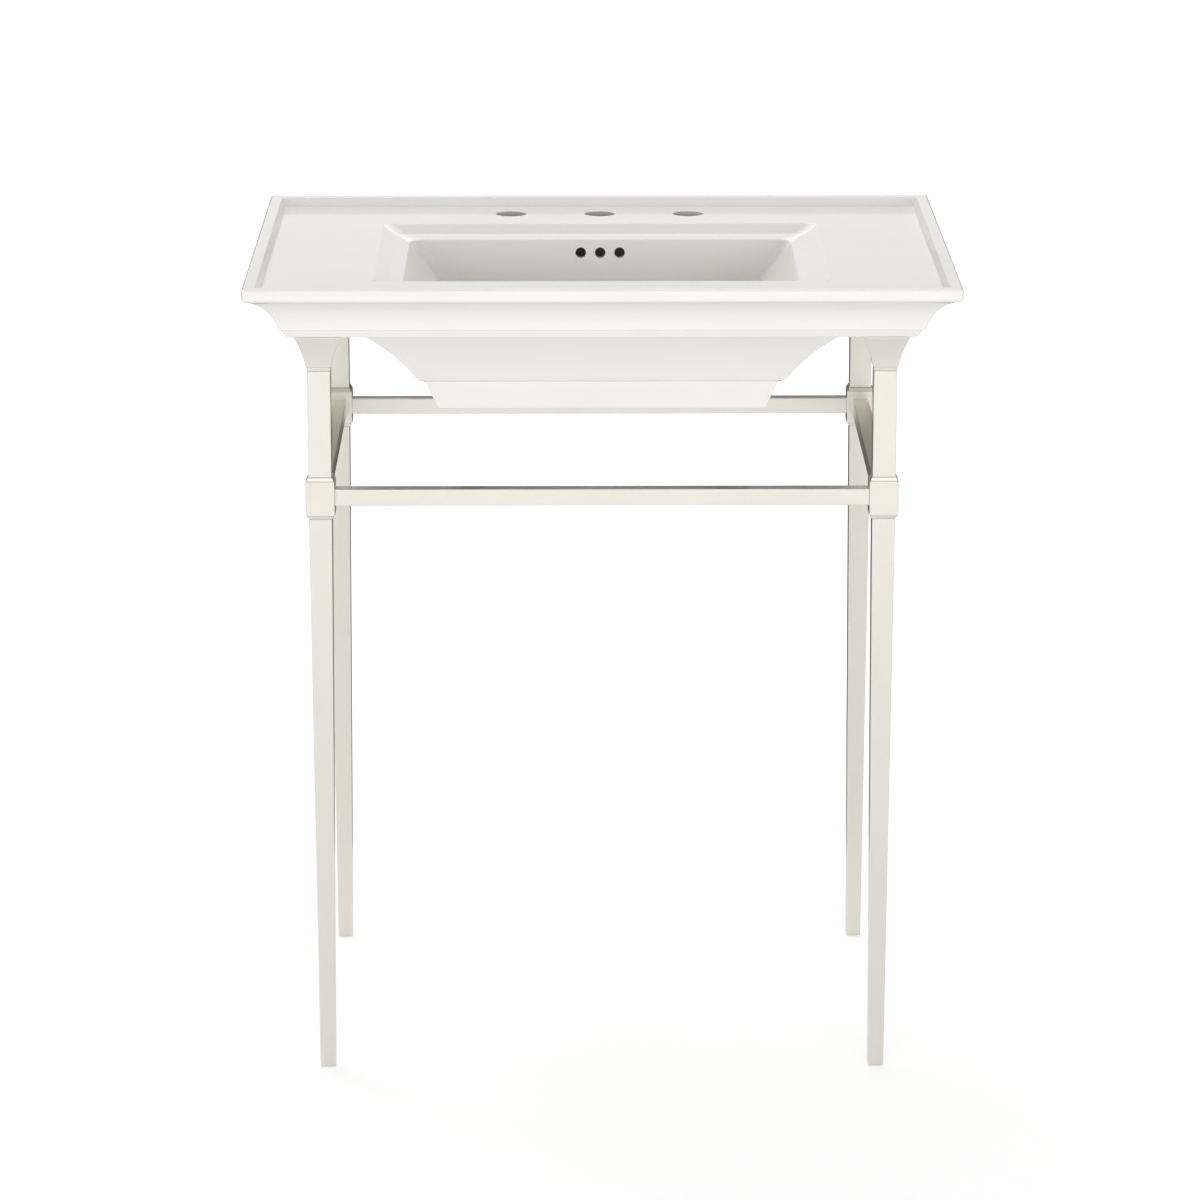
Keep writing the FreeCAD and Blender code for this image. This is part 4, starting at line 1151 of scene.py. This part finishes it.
    def leg_stops(self) -> list[Stop]:
        """The lower leg, a tapered square tube."""
        head = self.post_width / 2
        foot = self.foot_width / 2
        high = self.leg_high - self.seam
        return square_stops(
            (head, high, self.crisp, self.soft_edge),
            (foot, self.leg_low, self.crisp, self.soft_edge),
            (foot - self.tube_wall, self.leg_low, 0.0, self.crisp),
            (head - self.tube_wall, high, 0.0, self.crisp),
        )

    def spigot_boxes(self) -> list[Object]:
        """The block's two spigots that the rails slide on."""
        middle = Vector((self.axis.x, self.axis.y, (self.post_low + self.leg_high) / 2))
        half = self.rail_spigot_width / 2
        start = self.block_width / 4
        end = self.block_width / 2 + self.rail_spigot
        inwards_x = math.copysign(1.0, -self.axis.x)
        inwards_y = 1.0 if self.corner.startswith("front") else -1.0
        boxes = []
        for turn in ((inwards_x, 0.0), (0.0, inwards_y)):
            along = Vector((*turn, 0.0))
            across = Vector((abs(turn[1]), abs(turn[0]), 1.0)) * half
            first = middle + along * start
            last = middle + along * end
            low = Vector(map(min, first, last)) - across
            high = Vector(map(max, first, last)) + across
            boxes.append(make_object("spigot", block_form(low, high)))
        return boxes

    def build(self, plate: Material) -> None:
        """Builds and dresses the four plated pieces.

        Args:
            plate: the brushed finish, rubbed upwards.
        """
        self.stand("capital", self.capital_stops(), plate)
        self.stand("upper_post", self.post_stops(), plate)
        block = self.stand("joint_block", self.block_stops(), plate)
        block.modifiers.clear()
        combine(block, self.spigot_boxes(), "UNION")
        finish_shading(block)
        self.stand("lower_leg", self.leg_stops(), plate)
        LOG.info("%s leg: capital, post, block and tapered tube", self.corner)


@dataclass
class LevellingFoot:
    """A hexagon base on a threaded stud that screws into the leg."""

    corner: str
    stud_radius: float = 0.003
    thread_pitch: float = 0.001
    thread_depth: float = 0.0006
    base_height: float = 0.004
    bevel: float = 0.0004
    stud_merge: float = 0.00002
    steps_per_turn: int = 24
    turns_below_cut: float = 1.5
    base_turn: float = 30.0

    def build(self, finish: Material) -> Object:
        """Builds and dresses the foot.

        Args:
            finish: its material.

        Returns:
            The piece.
        """
        node = f"{self.corner}_levelling_foot"
        low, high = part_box(node)
        axis = Vector(((low.x + high.x) / 2, (low.y + high.y) / 2, low.z))
        mesh = bmesh.new()
        self.add_stud(mesh, high.z - low.z)
        radius = (high.x - low.x) / 2
        made = bmesh.ops.create_cone(mesh, cap_ends=True, segments=6, radius1=radius, radius2=radius,
                                     depth=self.base_height)
        bmesh.ops.translate(mesh, vec=(0, 0, self.base_height / 2), verts=made["verts"])
        bmesh.ops.bevel(mesh, geom=list({edge for vert in made["verts"] for edge in vert.link_edges}),
                        offset=self.bevel, segments=2, profile=0.5, affect="EDGES", material=-1)
        bmesh.ops.rotate(mesh, cent=(0, 0, 0), verts=mesh.verts,
                         matrix=Matrix.Rotation(math.radians(self.base_turn), 3, "Z"))
        bmesh.ops.translate(mesh, vec=axis, verts=mesh.verts)
        piece = make_object(f"{self.corner}_foot_moulded", mesh)
        piece.data.materials.append(finish)
        finish_shading(piece)
        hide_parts(node)
        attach(piece, f"{self.corner}_foot")
        return piece

    def add_stud(self, mesh: Form, top: float) -> None:
        """Adds the threaded stud, which starts inside the base.

        Args:
            mesh: the empty mesh.
            top: the stud's upper end above the floor.
        """
        root = self.stud_radius - self.thread_depth
        pitch = self.thread_pitch
        bottom = self.base_height - pitch / 2
        start = bottom - self.turns_below_cut * pitch
        line = [mesh.verts.new((root, 0, start)), mesh.verts.new((self.stud_radius, 0, start + pitch / 2)),
                mesh.verts.new((root, 0, start + pitch))]
        edges = [mesh.edges.new(line[:2]), mesh.edges.new(line[1:])]
        turns = math.ceil((top - start) / pitch)
        bmesh.ops.spin(mesh, geom=line + edges, cent=(0, 0, 0), axis=(0, 0, 1),
                       dvec=(0, 0, pitch / self.steps_per_turn), angle=math.tau * turns,
                       steps=self.steps_per_turn * turns, use_merge=False)
        bmesh.ops.remove_doubles(mesh, verts=mesh.verts, dist=self.stud_merge)
        saw_off(mesh, (0, 0, bottom), (0, 0, -1))
        saw_off(mesh, (0, 0, top), (0, 0, 1))


# ---------------------------------------------------------------- the rails


@dataclass
class Rail:
    """A square rail between two joint blocks, with a screw hole near each end below."""

    name: str
    grain: Grain
    wall: float = 0.002
    edge: float = 0.0010
    crisp: float = 0.0003
    screw_hole: float = 0.0051
    screw_setback: float = 0.008
    screw_facets: int = 24

    def build(self, plate: Material) -> Object:
        """Builds and dresses the rail.

        Args:
            plate: the brushed finish, rubbed along the rail.

        Returns:
            The piece.
        """
        low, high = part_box(self.name)
        size = high - low
        along_x = size.x > size.y
        half = size.z / 2
        reach = max(size.x, size.y) / 2
        bore = half - self.wall
        stops = square_stops(
            (half, reach, self.crisp, self.edge),
            (half, -reach, self.crisp, self.edge),
            (bore, -reach, 0.0, self.crisp),
            (bore, reach, 0.0, self.crisp),
        )
        turn = Matrix.Rotation(QUARTER_TURN, 4, "Y" if along_x else "X")
        middle = (low + high) / 2
        mesh = moved(form(stops, steps=3, per_corner=4), Matrix.Translation(middle) @ turn)
        piece = make_object(f"{self.name}_plated", mesh)
        piece.data.materials.append(plate)
        combine(piece, self.screw_tools(middle, reach, along_x, half))
        finish_shading(piece)
        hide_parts(self.name)
        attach(piece, CONSOLE)
        LOG.info("%s: %.3f m long", self.name, reach * 2)
        return piece

    def screw_tools(self, middle: Vector, reach: float, along_x: bool, half: float) -> list[Object]:
        """Cutters of the two screw holes.

        Args:
            middle: the rail's middle.
            reach: half its length.
            along_x: whether it runs from side to side.
            half: half its width.

        Returns:
            The cutters.
        """
        tools = []
        for sign in (-1, 1):
            step = (reach - self.screw_setback) * sign
            shift = Vector((step, 0, -half)) if along_x else Vector((0, step, -half))
            mesh = bmesh.new()
            bmesh.ops.create_cone(mesh, cap_ends=True, segments=self.screw_facets, radius1=self.screw_hole / 2,
                                  radius2=self.screw_hole / 2, depth=self.wall * 3)
            tools.append(make_object("screw_hole", moved(mesh, Matrix.Translation(middle + shift))))
        return tools


# ---------------------------------------------------------------- fixings that stay as packed


def dress_fixings(zinc: Material, rubber: Material) -> None:
    """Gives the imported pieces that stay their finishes.

    Args:
        zinc: finish of rods, nuts, plugs, inserts and screws.
        rubber: finish of the cushion pads.
    """
    plated = ("tie_rod", "tie_nut", "leg_plug", "foot_insert", "rail_screws")
    for words, finish in ((plated, zinc), ("cushion_pad", rubber)):
        for name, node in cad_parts.items():
            if name.endswith(words):
                node.data.materials.clear()
                node.data.materials.append(finish)


# ---------------------------------------------------------------- the studio


@dataclass(frozen=True)
class Softbox:
    """A soft lamp of the studio."""

    name: str
    place: Triple
    aim: Triple
    size: Pair
    power: float
    lights_matte: bool = True
    shows_in_gloss: bool = True

    def build(self) -> Object:
        """Hangs the lamp.

        Returns:
            The lamp's object.
        """
        lamp = bpy.data.lights.new(self.name, "AREA")
        lamp.shape = "RECTANGLE"
        lamp.size, lamp.size_y = self.size
        lamp.energy = self.power
        holder = bpy.data.objects.new(self.name, lamp)
        holder.location = self.place
        direction = Vector(self.aim) - Vector(self.place)
        holder.rotation_euler = direction.to_track_quat("-Z", "Y").to_euler()
        holder.visible_camera = False
        holder.visible_diffuse = self.lights_matte
        holder.visible_glossy = self.shows_in_gloss
        bpy.context.scene.collection.objects.link(holder)
        return holder


@dataclass(frozen=True)
class Flag:
    """A dark board behind the object that only shows in gloss and gives the metal its dark edges."""

    place: Triple = (0.0, 0.6, 0.46)
    size: Pair = (1.8, 0.92)
    tone: Triple = (0.070, 0.062, 0.048)

    def build(self) -> Object:
        """Stands the board up.

        Returns:
            The board.
        """
        mesh = bmesh.new()
        bmesh.ops.create_grid(mesh, x_segments=1, y_segments=1, size=0.5)
        bmesh.ops.scale(mesh, vec=(*self.size, 1.0), verts=mesh.verts)
        moved(mesh, Matrix.Translation(self.place) @ Matrix.Rotation(QUARTER_TURN, 4, "X"))
        board = make_object("flag", mesh)
        material, tree, shader = blank_material("dark board")
        feed(tree, shader, {"Base Color": BLACK, "Specular IOR Level": 0.0,
                            "Emission Color": (*self.tone, 1.0), "Emission Strength": 1.0})
        board.data.materials.append(material)
        board.visible_camera = board.visible_diffuse = False
        board.visible_transmission = board.visible_shadow = False
        return board


@dataclass(frozen=True)
class Studio:
    """White surroundings, soft lamps and the photograph's camera."""

    camera_place: Triple = (-0.0358, -5.580, 1.926)
    camera_pitch: float = 75.46
    camera_turn: float = -0.358
    lens: float = 153.45
    sensor_width: float = 36.0
    floor_size: float = 60.0
    floor_colour: Triple = (0.70, 0.70, 0.70)
    floor_roughness: float = 0.9
    floor_glow: float = 0.52
    far_glow: float = 0.80
    glow_reach: Pair = (1.0, 4.5)
    floor_glow_in_gloss: float = 0.37
    fill: float = 0.42
    lamps: tuple[Softbox, ...] = (
        Softbox("front", (0.2, -5.0, 0.95), (0.0, 0.0, 0.75), (6.0, 1.7), 168.0, shows_in_gloss=False),
        Softbox("high", (-0.9, 2.4, 3.2), (0.0, 0.0, 0.9), (4.0, 3.0), 58.0),
        Softbox("overhead", (0.0, 0.5, 3.2), (0.0, 0.0, 0.9), (3.0, 2.0), 10.5, shows_in_gloss=False),
        Softbox("sparkle", (0.3, -2.6, 3.3), (0.0, 0.0, 0.9), (2.4, 1.2), 5.0, lights_matte=False),
    )

    def build(self) -> None:
        """Sets up world, floor, lamps, camera and colour management."""
        self.build_world()
        self.build_floor()
        Flag().build()
        for lamp in self.lamps:
            lamp.build()
        camera = bpy.data.cameras.new("camera")
        camera.lens = self.lens
        camera.sensor_width = self.sensor_width
        holder = bpy.data.objects.new("camera", camera)
        holder.location = self.camera_place
        holder.rotation_euler = (math.radians(self.camera_pitch), 0.0, math.radians(self.camera_turn))
        bpy.context.scene.collection.objects.link(holder)
        bpy.context.scene.camera = holder
        bpy.context.scene.view_settings.view_transform = "Standard"

    def build_world(self) -> None:
        """White to the camera and in gloss, softer as light."""
        world = bpy.data.worlds.new("studio")
        bpy.context.scene.world = world
        world.use_nodes = True
        background = world.node_tree.nodes["Background"]
        feed(world.node_tree, background, {
            "Color": WHITE,
            "Strength": self.strength_by_ray(world.node_tree, self.fill, 1.0, 1.0)})

    def strength_by_ray(self, tree: Tree, as_light: float, to_camera: float | Socket,
                        in_gloss: float) -> Socket:
        """A strength with one value as light, one as seen and one in gloss or through glass.

        Args:
            tree: the tree that it goes into.
            as_light: its value for diffuse light, the lowest of the three.
            to_camera: its value for camera rays.
            in_gloss: its value for glossy and transmission rays.

        Returns:
            The strength.
        """
        path = add_node(tree, "LightPath", {})
        strongest = as_light
        for label, strength in (("Is Camera Ray", to_camera), ("Is Glossy Ray", in_gloss),
                                ("Is Transmission Ray", in_gloss)):
            part = add_node(tree, "Math", {0: path.outputs[label], 1: strength}, operation="MULTIPLY")
            either = add_node(tree, "Math", {0: strongest, 1: part.outputs["Value"]}, operation="MAXIMUM")
            strongest = either.outputs["Value"]
        return strongest

    def build_floor(self) -> None:
        """A plain pale floor that fades into the white."""
        mesh = bmesh.new()
        bmesh.ops.create_grid(mesh, x_segments=1, y_segments=1, size=self.floor_size / 2)
        floor = make_object("floor", mesh)
        material, tree, shader = blank_material("pale floor")
        place = add_node(tree, "TexCoord", {})
        distance = add_node(tree, "VectorMath", {"Vector": place.outputs["Object"]}, operation="LENGTH")
        near, far = self.glow_reach
        glow = add_node(tree, "MapRange", {
            "Value": distance.outputs["Value"], "From Min": near, "From Max": far,
            "To Min": self.floor_glow, "To Max": self.far_glow})
        feed(tree, shader, {
            "Base Color": (*self.floor_colour, 1.0),
            "Roughness": self.floor_roughness,
            "Specular IOR Level": 0.0,
            "Emission Color": WHITE,
            "Emission Strength": self.strength_by_ray(tree, 0.0, glow.outputs["Result"],
                                                      self.floor_glow_in_gloss)})
        floor.data.materials.append(material)


def main() -> None:
    """Builds the console sink piece by piece and sets up the studio."""
    logging.basicConfig(level=logging.INFO, format="%(message)s")
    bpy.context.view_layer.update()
    SinkTop().build([finish.material() for finish in (Glaze(), BARE_CLAY, CLAY_WITH_PAINTED_OVERFLOW_SHADE)])
    upright = BrushedNickel(Grain.UPRIGHT).material()
    nylon = NYLON.material()
    for corner in CORNERS:
        Leg(corner).build(upright)
        LevellingFoot(corner).build(nylon)
    across = BrushedNickel(Grain.ACROSS).material()
    lengthwise = BrushedNickel(Grain.LENGTHWISE, roughness=0.42, sideways_gloss=0.9).material()
    for name in ("front_rail", "rear_rail"):
        Rail(name, Grain.ACROSS).build(across)
    for name in ("left_rail", "right_rail"):
        Rail(name, Grain.LENGTHWISE).build(lengthwise)
    dress_fixings(ZINC_PLATE.material(), SOFT_RUBBER.material())
    Studio().build()


if __name__ == "__main__":
    main()
